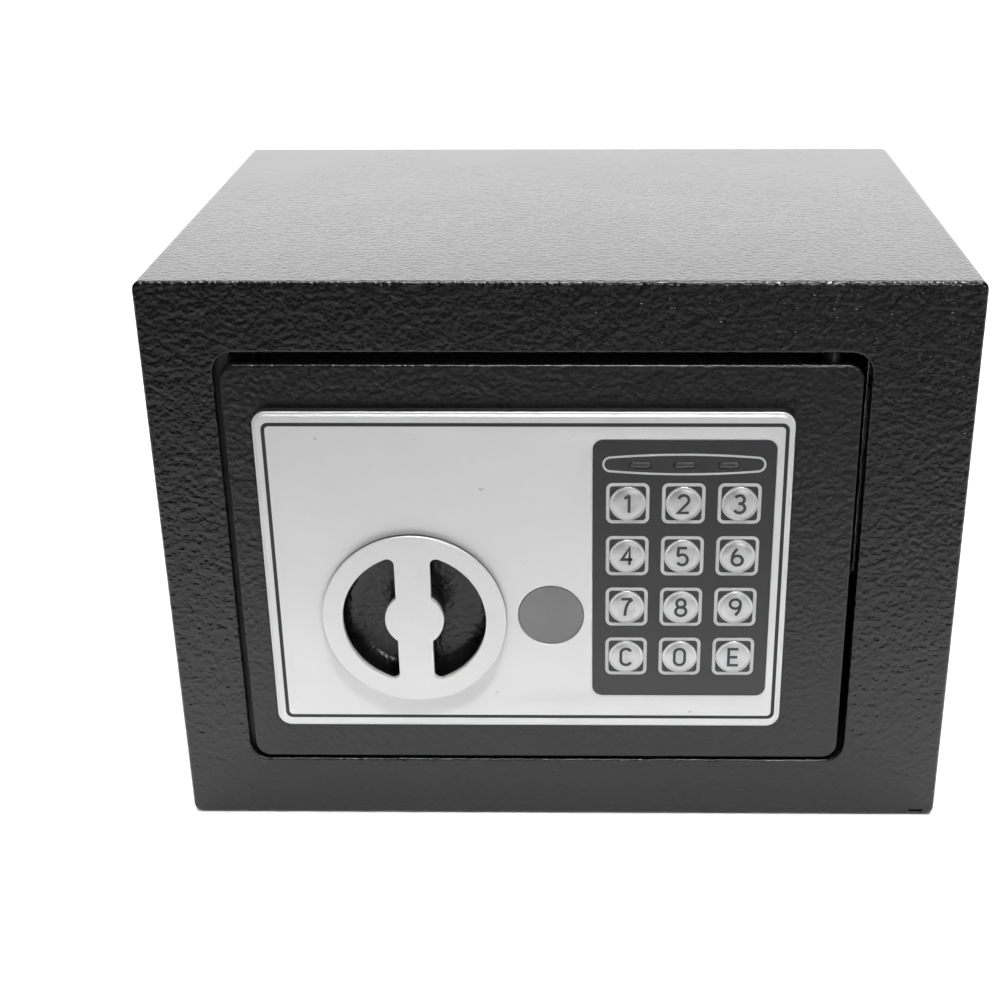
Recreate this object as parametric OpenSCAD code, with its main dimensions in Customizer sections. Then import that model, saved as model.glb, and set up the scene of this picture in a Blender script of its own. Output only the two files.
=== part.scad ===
// Small electronic deposit safe, built as the real one is: welded sheet case,
// swinging door with fascia, keypad, turning knob, bolt work, solenoid,
// override lock and battery box.  Millimetres, X right, Y back, Z up.

/* [Case] */
// Outside width of the case
case_w = 228; // [150:1:400]
// Outside height of the case
case_h = 168; // [120:1:400]
// Outside depth of the case, without the knob
case_d = 172; // [120:1:400]
// Sheet thickness of the wrap and the back
sheet = 1.5; // [1:0.1:4]
// Thickness of the front frame plate
frame_t = 2; // [1.5:0.1:6]
// Outside bend radius of the long edges
case_r = 2.6; // [1:0.1:8]
// Diameter of every anchor hole
anchor_d = 10; // [6:0.5:16]
// Spacing of the two anchor holes in the back and in the floor
anchor_gap = 100; // [40:1:160]
// Height of the back anchor holes
anchor_z = 104; // [40:1:140]
// Thickness of the felt mat
mat_t = 2; // [1:0.1:5]

/* [Door] */
// Width of the door opening
open_w = 179.4; // [100:0.1:300]
// Height of the door opening
open_h = 128.6; // [80:0.1:300]
// Sideways offset of the opening centre
open_x = -4.8; // [-20:0.05:20]
// Height of the opening centre
open_z = 83.9; // [40:0.1:200]
// Corner radius of the opening
open_r = 6; // [2:0.1:20]
// Width of the door plate
door_w = 175.7; // [100:0.1:300]
// Height of the door plate
door_h = 124.3; // [80:0.1:300]
// Sideways offset of the door centre
door_x = -5.05; // [-20:0.05:20]
// Height of the door centre
door_z = 82.7; // [40:0.05:200]
// Corner radius of the door
door_r = 4.5; // [2:0.1:20]
// Thickness of the door plate
door_t = 3; // [2:0.1:8]

/* [Hinge] */
// Sideways position of the hinge axis
hinge_x = 74.5; // [50:0.5:100]
// Depth of the hinge axis behind the front face
hinge_y = 6; // [5:0.1:15]
// Radius of the hinge rod
hinge_r = 2.5; // [1.5:0.1:5]
// Radial running clearance of turning and sliding fits
run = 0.06; // [0.02:0.01:0.1]

/* [Fascia] */
// Width of the fascia
fascia_w = 149; // [80:0.1:250]
// Height of the fascia
fascia_h = 99; // [60:0.1:200]
// Sideways offset of the fascia centre
fascia_x = -10; // [-60:0.05:60]
// Height of the fascia centre
fascia_z = 83; // [40:0.1:200]
// Corner radius of the fascia
fascia_r = 4; // [1:0.1:10]
// How far the fascia stands in front of the case
fascia_t = 4; // [2:0.1:8]
// Width between the middles of the upright pin lines
line_span_w = 143.7; // [60:0.1:240]
// Height between the middles of the level pin lines
line_span_h = 92.1; // [40:0.1:190]
// Width of the pin line groove
line_w = 0.8; // [0.3:0.1:2]

/* [Keypad] */
// Width of the keypad overlay
over_w = 50.7; // [30:0.1:80]
// Height of the keypad overlay
over_h = 80.4; // [50:0.1:120]
// Sideways offset of the overlay centre
over_x = 34.4; // [-60:0.05:60]
// Height of the overlay centre
over_z = 84.6; // [40:0.1:200]
// Sideways pitch of the keys
key_px = 15.55; // [10:0.1:25]
// Height pitch of the keys
key_pz = 16.13; // [10:0.1:25]
// Height of the top row of keys
key_top_z = 105.95; // [60:0.1:180]
// Radius of a key cap
key_r = 5.1; // [3:0.1:8]
// Travel of a key
key_travel = 0.5; // [0.2:0.1:2]
// Height of the indicator lights
light_z = 117.35; // [60:0.1:180]
// Sideways pitch of the indicator lights
light_px = 12.2; // [6:0.1:20]

/* [Knob] */
// Sideways position of the knob axis
knob_x = -42.1; // [-80:0.1:80]
// Height of the knob axis
knob_z = 70.1; // [30:0.1:140]
// Outside radius of the knob disc
knob_r = 26.5; // [15:0.1:40]
// Outer radius of the finger apertures
finger_r = 20.6; // [10:0.1:35]
// Width of the bar between the apertures
bar_w = 10.2; // [5:0.1:20]
// Radius of the hub in the middle of the bar
hub_r = 8.5; // [5:0.1:15]
// How far the knob stands in front of the case
knob_out = 6.2; // [4:0.1:15]

/* [Bolt work] */
// Travel of the bolts
throw = 14; // [8:0.5:20]
// Turn of the knob that throws the bolts
knob_turn = 80; // [60:1:90]
// Radius of a locking bolt
bolt_r = 6; // [4:0.1:10]
// Height of the upper bolt
bolt_hi = 112; // [60:0.5:140]
// Height of the lower bolt
bolt_lo = 54; // [30:0.5:100]
// Depth of the bolt axis behind the front face
bolt_y = 12.25; // [8:0.05:20]
// Thickness of the bolt carrier
carrier_t = 2.5; // [1.5:0.1:4]

/* [Override lock] */
// Sideways position of the lock axis
lock_x = -2.9; // [-40:0.1:40]
// Height of the lock axis
lock_z = 70.7; // [40:0.1:120]
// Radius of the key cover disc
cover_r = 9.4; // [6:0.1:15]
// Lift of the solenoid plunger
lift = 4; // [2:0.1:8]

/* [Hidden] */
$fn = 64;
eps = 0.01;
tiny = 0.2;
front_y = -(case_d - knob_out) / 2;
back_d = case_d - sheet;
inner_w = case_w - 2 * sheet;
inner_h = case_h - 2 * sheet;
door_right = door_x + door_w / 2;
open_top = open_z + open_h / 2;
open_bottom = open_z - open_h / 2;
open_left = open_x - open_w / 2;
// crank
crank_r = throw / (2 * sin(knob_turn / 2));
crank_dx = crank_r * sin(knob_turn / 2);
crank_dz = crank_r * cos(knob_turn / 2);
pin_r = 2.5;
pin_gap = 0.35;
// dish behind the knob
dish_r = 21.5;
dish_y = 3;
dish_t = 2.5;
shaft_r = 4;
cam_y = dish_y + dish_t + 0.4;
cam_t = 2.6;
cam_r = 14;
// fascia layers
step_y = 0.8;
line_deep = 0.4;
line_r = 2;
over_t = 0.5;
over_sink = 0.4;
pocket_r = key_r + 0.1;
stem_r = 3.2;
cap_front = -fascia_t - 0.75;
cap_t = 1;
pocket_back = -fascia_t + 0.9;
stem_back = -0.75;
board_y = 0.3;
board_t = 1.2;
board_w = 46;
board_h = 78;
cut_w = 48;
cut_h = 80;
light_w = 6;
light_h = 2;
led_gap = 0.05;
// bolt work
carrier_y = bolt_y - carrier_t / 2;
carrier_l = -62;
carrier_rt = -28.5;
carrier_lo = 38;
carrier_hi = 122;
tongue_l = -74;
tongue_h = 9;
arm_rt = -12;
arm_lo = 84;
arm_hi = 92;
bolt_tip = -89.5;
bolt_end = -64;
rivet_x = -69;
rivet_r = 2;
rivet_l = 11.1;
guide_x = -86.5;
guide_t = 2;
guide_lo = 28;
guide_hi = 138;
post_x = -56;
post_hi = 104;
post_lo = 44;
post_r = 3;
post_foot_r = 5;
post_shoulder = carrier_y - 0.2;
post_back = 16;
clip_t = 1;
// mechanism cover
cover_l = guide_x + guide_t;
cover_rt = 68;
cover_lo = 26;
cover_hi = 141;
cover_back = 28.5;
cover_t = 1.2;
cover_in = cover_back - cover_t;
stand_r = 3;
// battery box
bat_x = 37;
bat_z = 59;
bat_w = 58.4;
bat_h = 62;
bat_t = 1.5;
bat_front = 8;
cell_r = 7.25;
cell_l = 50.5;
cell_pitch = 14.7;
cell_y = 17.2;
bat_in_w = bat_w - 2 * bat_t;
bat_in_h = bat_h - 2 * bat_t;
// control board
ctl_x = 33;
ctl_z = 116;
ctl_w = 50;
ctl_h = 44;
ctl_y = 8;
ctl_t = 1.6;
reset_x = 50;
reset_z = 104;
reset_r = 3;
// solenoid
sol_x = -18;
sol_lo = 105;
sol_hi = 128;
sol_t = 1.5;
coil_r = 8;
plunger_r = 3;
plunger_tip = arm_hi + 0.3;
plunger_top = 118;
tab_z = 95;
tab_t = 1.5;
arm_y = 22;
// override lock
barrel_r = 6.5;
plug_r = 4.5;
plug_back = 19;
lock_cam_t = 2;
lock_pin_r = 1.2;
lock_ecc = lift / (2 * sin(45));
// hinge
bracket_t = 2.5;
knuckle_h = 8;
knuckle_hi = 134;
knuckle_lo = 24;
// fasteners
screw_r = 1.5;
screw_head_r = 2.8;
screw_head_t = 2;

fascia_pts = [[-78, 40.5], [-78, 127], [61, 38.5], [61, 128]];
stand_pts = [[-78, 134], [-78, 33], [1, 33], [62.5, 134.5]];
board_pts = [[12, 132], [54, 132]];
bolt_zs = [bolt_lo, bolt_hi];
post_zs = [post_lo, post_hi];

// Sub-part to show

// ---------- helpers ----------
module place() { translate([0, front_y, 0]) children(); }

// Rounded rectangle about the origin, exact arcs
module rrect(w, h, r) {
  square([w - 2 * r, h], center = true);
  square([w, h - 2 * r], center = true);
  for (sx = [-1, 1], sz = [-1, 1])
    translate([sx * (w / 2 - r), sz * (h / 2 - r)]) circle(r);
}

// Flat outline drawn as x, z and given thickness t from depth y
module plate_y(y, t) {
  translate([0, y + t, 0]) rotate([90, 0, 0]) linear_extrude(t) children();
}

module box3(x0, x1, y0, y1, z0, z1) {
  translate([x0, y0, z0]) cube([x1 - x0, y1 - y0, z1 - z0]);
}

module rod_y(x, z, r, y0, y1) {
  translate([x, y0, z]) rotate([-90, 0, 0]) cylinder(h = y1 - y0, r = r);
}

module rod_x(y, z, r, x0, x1) {
  translate([x0, y, z]) rotate([0, 90, 0]) cylinder(h = x1 - x0, r = r);
}

module rod_z(x, y, r, z0, z1) {
  translate([x, y, z0]) cylinder(h = z1 - z0, r = r);
}

module slot2(x0, x1, z, r) {
  translate([x0, z - r]) square([x1 - x0, 2 * r]);
  translate([x0, z]) circle(r);
  translate([x1, z]) circle(r);
}

// ---------- case ----------
module body_wrap() place() color("#26272a") difference() {
  plate_y(frame_t, case_d - frame_t) translate([0, case_h / 2]) difference() {
    rrect(case_w, case_h, case_r);
    rrect(inner_w, inner_h, case_r - sheet);
  }
  for (s = [-1, 1])
    rod_z(s * anchor_gap / 2, case_d / 2, anchor_d / 2, -1, sheet + 1);
}

module front_frame() place() color("#2b2c2f")
  plate_y(0, frame_t) difference() {
    translate([0, case_h / 2]) rrect(case_w, case_h, case_r);
    translate([open_x, open_z]) rrect(open_w, open_h, open_r);
  }

module back_panel() place() color("#2b2c2f")
  plate_y(back_d, sheet) difference() {
    translate([0, case_h / 2]) rrect(inner_w, inner_h, case_r - sheet);
    for (s = [-1, 1]) translate([s * anchor_gap / 2, anchor_z]) circle(anchor_d / 2);
  }

module strike_plate() place() color("#4a4b4e") {
  strike_l = -109;
  strike_y = bolt_y - bolt_r - 0.25;
  lip_rt = -90.5;
  edge = open_left - 1;
  low = open_bottom + 1;
  top = open_top - 1;
  box3(strike_l, edge, frame_t, strike_y, low, top);
  box3(edge - eps, lip_rt, door_t + 0.3, strike_y, low, top);
}

module hinge_tab(z0) difference() {
  union() {
    box3(hinge_x - 7, hinge_x + 7, frame_t, hinge_y + 5, z0, z0 + bracket_t);
    rod_z(hinge_x, hinge_y + 5, 7, z0, z0 + bracket_t);
    for (s = [-1, 1])
      box3(hinge_x + s * 10.5 - 4, hinge_x + s * 10.5 + 3.5, frame_t, frame_t + bracket_t,
        z0, z0 + bracket_t);
  }
  rod_z(hinge_x, hinge_y, hinge_r, z0 - 1, z0 + bracket_t + 1);
}

// Foot of a hinge bracket, cut away round the end of the rod
module hinge_foot(z0, z1) difference() {
  box3(hinge_x - 14, hinge_x + 14, frame_t, frame_t + bracket_t, z0, z1);
  rod_z(hinge_x, hinge_y, 5.5, z0 - 1, z1 + 1);
}

module hinge_brackets() place() color("#4a4b4e") {
  top = open_top + 1.6;
  low = open_bottom - 1.6;
  union() {
    hinge_tab(top);
    hinge_foot(top + bracket_t - eps, open_top + 14);
  }
  union() {
    hinge_tab(low - bracket_t);
    hinge_foot(open_bottom - 14, low - bracket_t + eps);
  }
}

module hinge_rod() place() color("#b9bcc0")
  rod_z(hinge_x, hinge_y, hinge_r, open_bottom - 6, open_top + 6);

module rod_clips() place() color("#8d9094")
  for (z = [open_bottom - 5.6, open_top + 4.4]) difference() {
    rod_z(hinge_x, hinge_y, 3.6, z, z + 1);
    rod_z(hinge_x, hinge_y, hinge_r, z - 1, z + 2);
  }

module floor_mat() place() color("#3a3d42") difference() {
  box3(-inner_w / 2 + 1.5, inner_w / 2 - 1.5, 4, back_d - 1, sheet, sheet + mat_t);
  for (s = [-1, 1])
    rod_z(s * anchor_gap / 2, case_d / 2, anchor_d / 2 + 1, 0, sheet + mat_t + 1);
}

// ---------- door ----------
module door_panel() place() color("#2f3033") difference() {
  union() {
    plate_y(0, door_t) difference() {
      translate([door_x, door_z]) rrect(door_w, door_h, door_r);
      translate([over_x, over_z]) rrect(cut_w, cut_h, 2);
      translate([lock_x, lock_z]) circle(barrel_r);
      for (p = fascia_pts) translate(p) circle(screw_r);
    }
    rod_y(knob_x, knob_z, dish_r + 2, door_t - 1, dish_y + dish_t);
  }
  rod_y(knob_x, knob_z, dish_r, -1, dish_y);
  rod_y(knob_x, knob_z, shaft_r + run, dish_y - 1, dish_y + dish_t + 1);
}

module hinge_knuckles() place() color("#4a4b4e")
  for (z = [knuckle_lo, knuckle_hi]) difference() {
    union() {
      box3(hinge_x - 5, hinge_x + 5, door_t, hinge_y, z, z + knuckle_h);
      rod_z(hinge_x, hinge_y, 5, z, z + knuckle_h);
    }
    box3(hinge_x - 6, hinge_x + 6, -1, door_t, z - 1, z + knuckle_h + 1);
    rod_z(hinge_x, hinge_y, hinge_r + run, z - 1, z + knuckle_h + 1);
  }

module key_spots() for (i = [0:2], j = [0:3])
  translate([over_x + (i - 1) * key_px, key_top_z - j * key_pz]) children();

module light_spots(grow) for (i = [-1:1]) {
  r = light_h / 2 + grow;
  half = light_w / 2 - light_h / 2;
  x = over_x + i * light_px;
  slot2(x - half, x + half, light_z, r);
}

module fascia() place() color("#c9cacc") difference() {
  union() {
    plate_y(-fascia_t + step_y, fascia_t - step_y)
      translate([fascia_x, fascia_z]) rrect(fascia_w, fascia_h, fascia_r);
    plate_y(-fascia_t, fascia_t - step_y)
      translate([fascia_x, fascia_z])
        rrect(fascia_w - 2 * step_y, fascia_h - 2 * step_y, fascia_r - step_y);
  }
  plate_y(-fascia_t - 1, 1 + line_deep) translate([fascia_x, fascia_z]) difference() {
    rrect(line_span_w + line_w, line_span_h + line_w, line_r);
    rrect(line_span_w - line_w, line_span_h - line_w, line_r - line_w);
  }
  plate_y(-fascia_t - 1, 1 + over_sink)
    translate([over_x, over_z]) rrect(over_w, over_h, 3);
  rod_y(knob_x, knob_z, dish_r, -fascia_t - 1, 1);
  rod_y(lock_x, lock_z, cover_r + 0.1, -fascia_t - 1, 1);
  plate_y(-fascia_t, pocket_back + fascia_t) key_spots() circle(pocket_r);
  plate_y(-fascia_t, fascia_t + 1) {
    key_spots() circle(stem_r + 0.1);
    light_spots(led_gap);
  }
  for (p = fascia_pts) rod_y(p[0], p[1], screw_r, -2.2, 1);
}

module fascia_screws() place() color("#8d9094")
  for (p = fascia_pts) {
    rod_y(p[0], p[1], screw_r, -2.2, door_t + eps);
    difference() {
      rod_y(p[0], p[1], screw_head_r, door_t, door_t + screw_head_t);
      cross_recess(p[0], p[1], door_t + screw_head_t);
    }
  }

module cross_recess(x, z, y) {
  for (a = [0, 90]) translate([x, y, z]) rotate([0, a, 0])
    translate([-1.5, -0.9, -0.3]) cube([3, 2, 0.6]);
}

module keypad_overlay() place() color("#45464a")
  plate_y(-fascia_t - over_t + over_sink, over_t) difference() {
    translate([over_x, over_z]) rrect(over_w - 0.1, over_h - 0.1, 2.95);
    key_spots() circle(pocket_r);
    light_spots(led_gap);
  }

module indicator_lights() place() color("#5a2a2a")
  plate_y(-fascia_t - 0.25, fascia_t + 0.25 + board_y) light_spots(0);

module keypad_board() place() color("#2f6b3a")
  plate_y(board_y, board_t) translate([over_x, over_z]) rrect(board_w, board_h, 1);

module dome_contacts() place() color("#b9bcc0")
  key_spots_y() rotate([-90, 0, 0]) cylinder(h = board_y - stem_back - key_travel - 0.05, r = 3);

module key_spots_y() for (i = [0:2], j = [0:3])
  translate([over_x + (i - 1) * key_px, stem_back + key_travel + 0.05,
    key_top_z - j * key_pz]) children();

module key_at(i, j) place() color("#c9cacc") {
  x = over_x + (i - 1) * key_px;
  z = key_top_z - j * key_pz;
  rod_y(x, z, key_r, cap_front, cap_front + cap_t);
  rod_y(x, z, stem_r, cap_front + cap_t - eps, stem_back);
}
module key_1() key_at(0, 0);
module key_2() key_at(1, 0);
module key_3() key_at(2, 0);
module key_4() key_at(0, 1);
module key_5() key_at(1, 1);
module key_6() key_at(2, 1);
module key_7() key_at(0, 2);
module key_8() key_at(1, 2);
module key_9() key_at(2, 2);
module key_c() key_at(0, 3);
module key_0() key_at(1, 3);
module key_e() key_at(2, 3);

// ---------- knob ----------
module finger_hole() difference() {
  // D shape with rounded corners, right of the bar
  intersection() {
    circle(finger_r);
    translate([bar_w / 2, -finger_r]) square([finger_r, 2 * finger_r]);
  }
  circle(hub_r);
}

module knob() place() color("#cfd0d2") difference() {
  disc_t = knob_out - fascia_t - 0.3;
  union() {
    plate_y(-knob_out, disc_t) translate([knob_x, knob_z]) difference() {
      circle(knob_r);
      for (m = [0, 1]) mirror([m, 0]) finger_hole();
    }
    rod_y(knob_x, knob_z, hub_r - 0.2, -knob_out + disc_t - eps, dish_y - 0.3);
  }
  rod_y(knob_x, knob_z, shaft_r, -2, dish_y + 1);
}

module knob_spindle() place() color("#b9bcc0") difference() {
  rod_y(knob_x, knob_z, shaft_r, -2, cam_y + cam_t);
  rod_y(knob_x, knob_z, 2, dish_y, cam_y + cam_t + 1);
}

module drive_cam() place() color("#9b9ea3") difference() {
  union() {
    rod_y(knob_x, knob_z, cam_r, cam_y, cam_y + cam_t);
    rod_y(knob_x + crank_dx, knob_z + crank_dz, pin_r, cam_y + cam_t - eps,
      carrier_y + carrier_t + 1.2);
  }
  rod_y(knob_x, knob_z, shaft_r, cam_y - 1, cam_y + cam_t + 1);
}

module cam_screw() place() color("#8d9094") {
  rod_y(knob_x, knob_z, 2, dish_y, cam_y + cam_t + eps);
  difference() {
    rod_y(knob_x, knob_z, 5.5, cam_y + cam_t, cam_y + cam_t + 1.4);
    cross_recess(knob_x, knob_z, cam_y + cam_t + 1.4);
  }
}

// ---------- bolt work ----------
module bolt_carrier() place() color("#9b9ea3")
  plate_y(carrier_y, carrier_t) difference() {
    union() {
      translate([carrier_l, carrier_lo])
        square([carrier_rt - carrier_l, carrier_hi - carrier_lo]);
      for (z = bolt_zs) translate([tongue_l, z - tongue_h / 2])
        square([carrier_l - tongue_l + 1, tongue_h]);
      translate([carrier_rt - 1, arm_lo]) square([arm_rt - carrier_rt + 1, arm_hi - arm_lo]);
    }
    translate([knob_x + crank_dx, knob_z + (crank_dz + crank_r) / 2])
      rrect(2 * (pin_r + pin_gap), crank_r - crank_dz + 2 * (pin_r + pin_gap) + 0.6, 2);
    for (z = post_zs) slot2(post_x, post_x + throw, z, post_r + run);
    for (z = bolt_zs) translate([rivet_x, z]) circle(rivet_r);
    translate([carrier_rt, (bolt_lo + post_lo) / 2 - 4]) circle(6);
  }

module locking_bolts() place() color("#c4c7cb")
  for (z = bolt_zs) difference() {
    rod_x(bolt_y, z, bolt_r, bolt_tip, bolt_end);
    box3(tongue_l, bolt_end + 1, carrier_y, carrier_y + carrier_t,
      z - bolt_r - 1, z + bolt_r + 1);
    rod_y(rivet_x, z, rivet_r, bolt_y - rivet_l / 2, bolt_y + rivet_l / 2);
  }

module bolt_rivets() place() color("#8d9094")
  for (z = bolt_zs) rod_y(rivet_x, z, rivet_r, bolt_y - rivet_l / 2, bolt_y + rivet_l / 2);

module bolt_guide() place() color("#3a3b3e") difference() {
  box3(guide_x, guide_x + guide_t, door_t, cover_in, guide_lo, guide_hi);
  for (z = bolt_zs) rod_x(bolt_y, z, bolt_r + run, guide_x - 1, guide_x + guide_t + 1);
}

module guide_posts() place() color("#b9bcc0") for (z = post_zs) {
  rod_y(post_x, z, post_foot_r, door_t, post_shoulder);
  rod_y(post_x, z, post_r, post_shoulder - eps, post_back);
}

module post_clips() place() color("#8d9094") for (z = post_zs) difference() {
  rod_y(post_x, z, post_foot_r, carrier_y + carrier_t + tiny,
    carrier_y + carrier_t + tiny + clip_t);
  rod_y(post_x, z, post_r, carrier_y, post_back);
}

// ---------- solenoid ----------
module solenoid_frame() place() color("#8d9094") difference() {
  union() {
    box3(sol_x - 9, sol_x + 9, door_t, door_t + 1, sol_lo, sol_hi);
    box3(sol_x - 9, sol_x + 9, door_t, 20.5, sol_lo, sol_lo + sol_t);
    box3(sol_x - 9, sol_x + 9, door_t, 20.5, sol_hi - sol_t, sol_hi);
  }
  rod_z(sol_x, bolt_y, plunger_r + 0.2, sol_lo - 1, sol_lo + sol_t + 1);
}

module solenoid_coil() place() color("#7a3b1e") difference() {
  rod_z(sol_x, bolt_y, coil_r, sol_lo + sol_t, sol_hi - sol_t);
  rod_z(sol_x, bolt_y, plunger_r + run, sol_lo, sol_hi - 2 * sol_t);
}

module solenoid_plunger() place() color("#c4c7cb")
  rod_z(sol_x, bolt_y, plunger_r, plunger_tip, plunger_top);

module lift_arm() place() color("#9b9ea3") difference() {
  union() {
    box3(sol_x - 5, sol_x + 5, bolt_y - 5, arm_y + 1, tab_z, tab_z + tab_t);
    plate_y(arm_y, tab_t) {
      translate([sol_x - 5, tab_z - 7]) square([lock_x + 0.5 - sol_x + 5, 7 + tab_t]);
      translate([lock_x - 6.5, lock_z - lift / 2 + lock_pin_r + 0.3])
        square([7, tab_z - lock_z]);
    }
  }
  rod_z(sol_x, bolt_y, plunger_r, tab_z - 1, tab_z + tab_t + 1);
}

// Round wire coil along z as one closed tube
module coil_spring(r, wire, z0, z1, turns) {
  per = 20;
  m = 8;
  n = turns * per;
  pts = [for (i = [0:n], j = [0:m - 1])
    let (a = 360 * i / per, b = 360 * j / m, q = r + wire * cos(b))
    [q * cos(a), q * sin(a), z0 + (z1 - z0) * i / n + wire * sin(b)]];
  sides = [for (i = [0:n - 1], j = [0:m - 1], k = [0, 1])
    let (a = i * m + j, b = i * m + (j + 1) % m)
    k == 0 ? [a, b, b + m] : [a, b + m, a + m]];
  ends = [[for (j = [m - 1:-1:0]) j], [for (j = [0:m - 1]) n * m + j]];
  polyhedron(points = pts, faces = concat(sides, ends), convexity = 10);
}

module plunger_spring() place() color("#b9bcc0")
  translate([sol_x, bolt_y, 0])
    coil_spring(4.4, 0.4, tab_z + tab_t + 0.45, sol_lo - 0.45, 4);

// ---------- override lock ----------
module lock_barrel() place() color("#c9b26a") difference() {
  union() {
    rod_y(lock_x, lock_z, cover_r - 0.7, -1.2, 0);
    rod_y(lock_x, lock_z, barrel_r, -eps, plug_back - 1);
  }
  rod_y(lock_x, lock_z, plug_r + run, -2, plug_back);
}

module lock_nut() place() color("#8d9094") difference() {
  plate_y(door_t, 3) translate([lock_x, lock_z]) circle(9, $fn = 6);
  rod_y(lock_x, lock_z, barrel_r, door_t - 1, door_t + 4);
}

module lock_plug() place() color("#d8c27c") difference() {
  union() {
    rod_y(lock_x, lock_z, plug_r, -1.2, plug_back - 1);
    rod_y(lock_x, lock_z, plug_r - 1.5, plug_back - 1 - eps, plug_back + lock_cam_t);
  }
  box3(lock_x - 0.6, lock_x + 0.6, -2, 8, lock_z - 3, lock_z + 3);
}

module lock_cam() place() color("#9b9ea3") difference() {
  union() {
    rod_y(lock_x, lock_z, 7, plug_back - 0.9, plug_back + 1);
    rod_y(lock_x - lift / 2, lock_z - lift / 2, lock_pin_r, plug_back + 1 - eps, arm_y + 3);
  }
  rod_y(lock_x, lock_z, plug_r - 1.5, plug_back - 2, plug_back + 3);
}

module key_cover() place() color("#8b8c8e") {
  rod_y(lock_x, lock_z, cover_r, -fascia_t + 0.25, -fascia_t + 1.45);
}

// ---------- inside the door ----------
module standoffs() place() color("#b9bcc0") {
  for (p = stand_pts) difference() {
    rod_y(p[0], p[1], stand_r, door_t, cover_in);
    rod_y(p[0], p[1], screw_r, cover_in - 6, cover_in + 1);
  }
  for (p = board_pts) rod_y(p[0], p[1], 2.5, door_t, ctl_y);
}

module battery_outline(w, h) translate([bat_x, bat_z]) square([w, h], center = true);

module mechanism_cover() place() color("#232427") difference() {
  box3(cover_l, cover_rt, door_t, cover_back, cover_lo, cover_hi);
  box3(cover_l - 1, cover_rt - cover_t, door_t - 1, cover_in,
    cover_lo + cover_t, cover_hi - cover_t);
  plate_y(cover_in - 1, cover_t + 2) battery_outline(bat_in_w, bat_in_h);
  rod_y(reset_x, reset_z, reset_r + 0.1, cover_in - 1, cover_back + 1);
  for (p = stand_pts) rod_y(p[0], p[1], screw_r, cover_in - 1, cover_back + 1);
}

module cover_screws() place() color("#8d9094")
  for (p = stand_pts) {
    rod_y(p[0], p[1], screw_r, cover_in - 6, cover_back + eps);
    difference() {
      rod_y(p[0], p[1], screw_head_r, cover_back, cover_back + screw_head_t);
      cross_recess(p[0], p[1], cover_back + screw_head_t);
    }
  }

module battery_box() place() color("#1d1e20") difference() {
  plate_y(bat_front, cover_in - bat_front) battery_outline(bat_w, bat_h);
  plate_y(bat_front + bat_t, cover_in) battery_outline(bat_in_w, bat_in_h);
}

module cell_spots() for (k = [0:3]) translate([0, 0, bat_z + (k - 1.5) * cell_pitch])
  mirror([k % 2, 0, 0]) children();

module batteries() place() color("#8a6a2c")
  translate([bat_x, 0, 0]) cell_spots() {
    rod_x(cell_y, 0, cell_r, -cell_l / 2, cell_l / 2 - 1.5);
    rod_x(cell_y, 0, 2.6, cell_l / 2 - 1.5 - eps, cell_l / 2);
  }

module battery_contacts() place() color("#c4c7cb")
  translate([bat_x, 0, 0]) for (k = [0:3]) for (s = [-1, 1])
    translate([0, 0, bat_z + (k - 1.5) * cell_pitch])
      box3(s > 0 ? cell_l / 2 : -bat_in_w / 2, s > 0 ? bat_in_w / 2 : -cell_l / 2,
        cell_y - 4, cell_y + 4, -4, 4);

module battery_cover() place() color("#1d1e20") {
  plate_y(cover_in, cover_t) battery_outline(bat_in_w - 0.4, bat_in_h - 0.4);
  for (s = [-1, 1])
    box3(bat_x - 8, bat_x + 8, cover_in - 1.8, cover_in + eps,
      bat_z + s * (bat_in_h / 2 - 0.9) - 0.6, bat_z + s * (bat_in_h / 2 - 0.9) + 0.6);
}

module control_board() place() color("#2f6b3a") {
  plate_y(ctl_y, ctl_t) translate([ctl_x, ctl_z]) rrect(ctl_w, ctl_h, 1);
  box3(ctl_x - 7, ctl_x + 5, ctl_y + ctl_t - eps, ctl_y + ctl_t + 2.4, ctl_z - 4, ctl_z + 8);
  rod_y(18, 104, 6, ctl_y + ctl_t - eps, ctl_y + ctl_t + 7);
  rod_y(20, 128, 4, ctl_y + ctl_t - eps, ctl_y + ctl_t + 10);
  box3(reset_x - 4, reset_x + 4, ctl_y + ctl_t - eps, 20, reset_z - 4, reset_z + 4);
}

module ribbon_cable() place() color("#9a9b9d")
  box3(ctl_x - 8, ctl_x + 8, board_y + board_t, ctl_y, 112, 112.8);

module reset_button() place() color("#b02a22") {
  rod_y(reset_x, reset_z, reset_r, 21.1, cover_back + 1.2);
}

// ---------- output ----------
body_wrap();
front_frame();
back_panel();
strike_plate();
hinge_brackets();
hinge_rod();
rod_clips();
floor_mat();
door_panel();
hinge_knuckles();
fascia();
fascia_screws();
keypad_overlay();
indicator_lights();
keypad_board();
dome_contacts();
bolt_guide();
guide_posts();
post_clips();
solenoid_frame();
solenoid_coil();
lock_barrel();
lock_nut();
standoffs();
mechanism_cover();
cover_screws();
control_board();
ribbon_cable();
battery_box();
batteries();
battery_contacts();
knob();
knob_spindle();
drive_cam();
cam_screw();
bolt_carrier();
locking_bolts();
bolt_rivets();
solenoid_plunger();
lift_arm();
plunger_spring();
lock_plug();
lock_cam();
key_cover();
battery_cover();
reset_button();
key_1();
key_2();
key_3();
key_4();
key_5();
key_6();
key_7();
key_8();
key_9();
key_c();
key_0();
key_e();
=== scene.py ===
"""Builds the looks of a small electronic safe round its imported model.

Every length in the settings is in metres; the builders work in millimetres with
the front plate at depth 0, and Shell.object() turns their points into metres.
"""

import math

import bmesh
import bpy
from mathutils import Matrix, Vector


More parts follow.
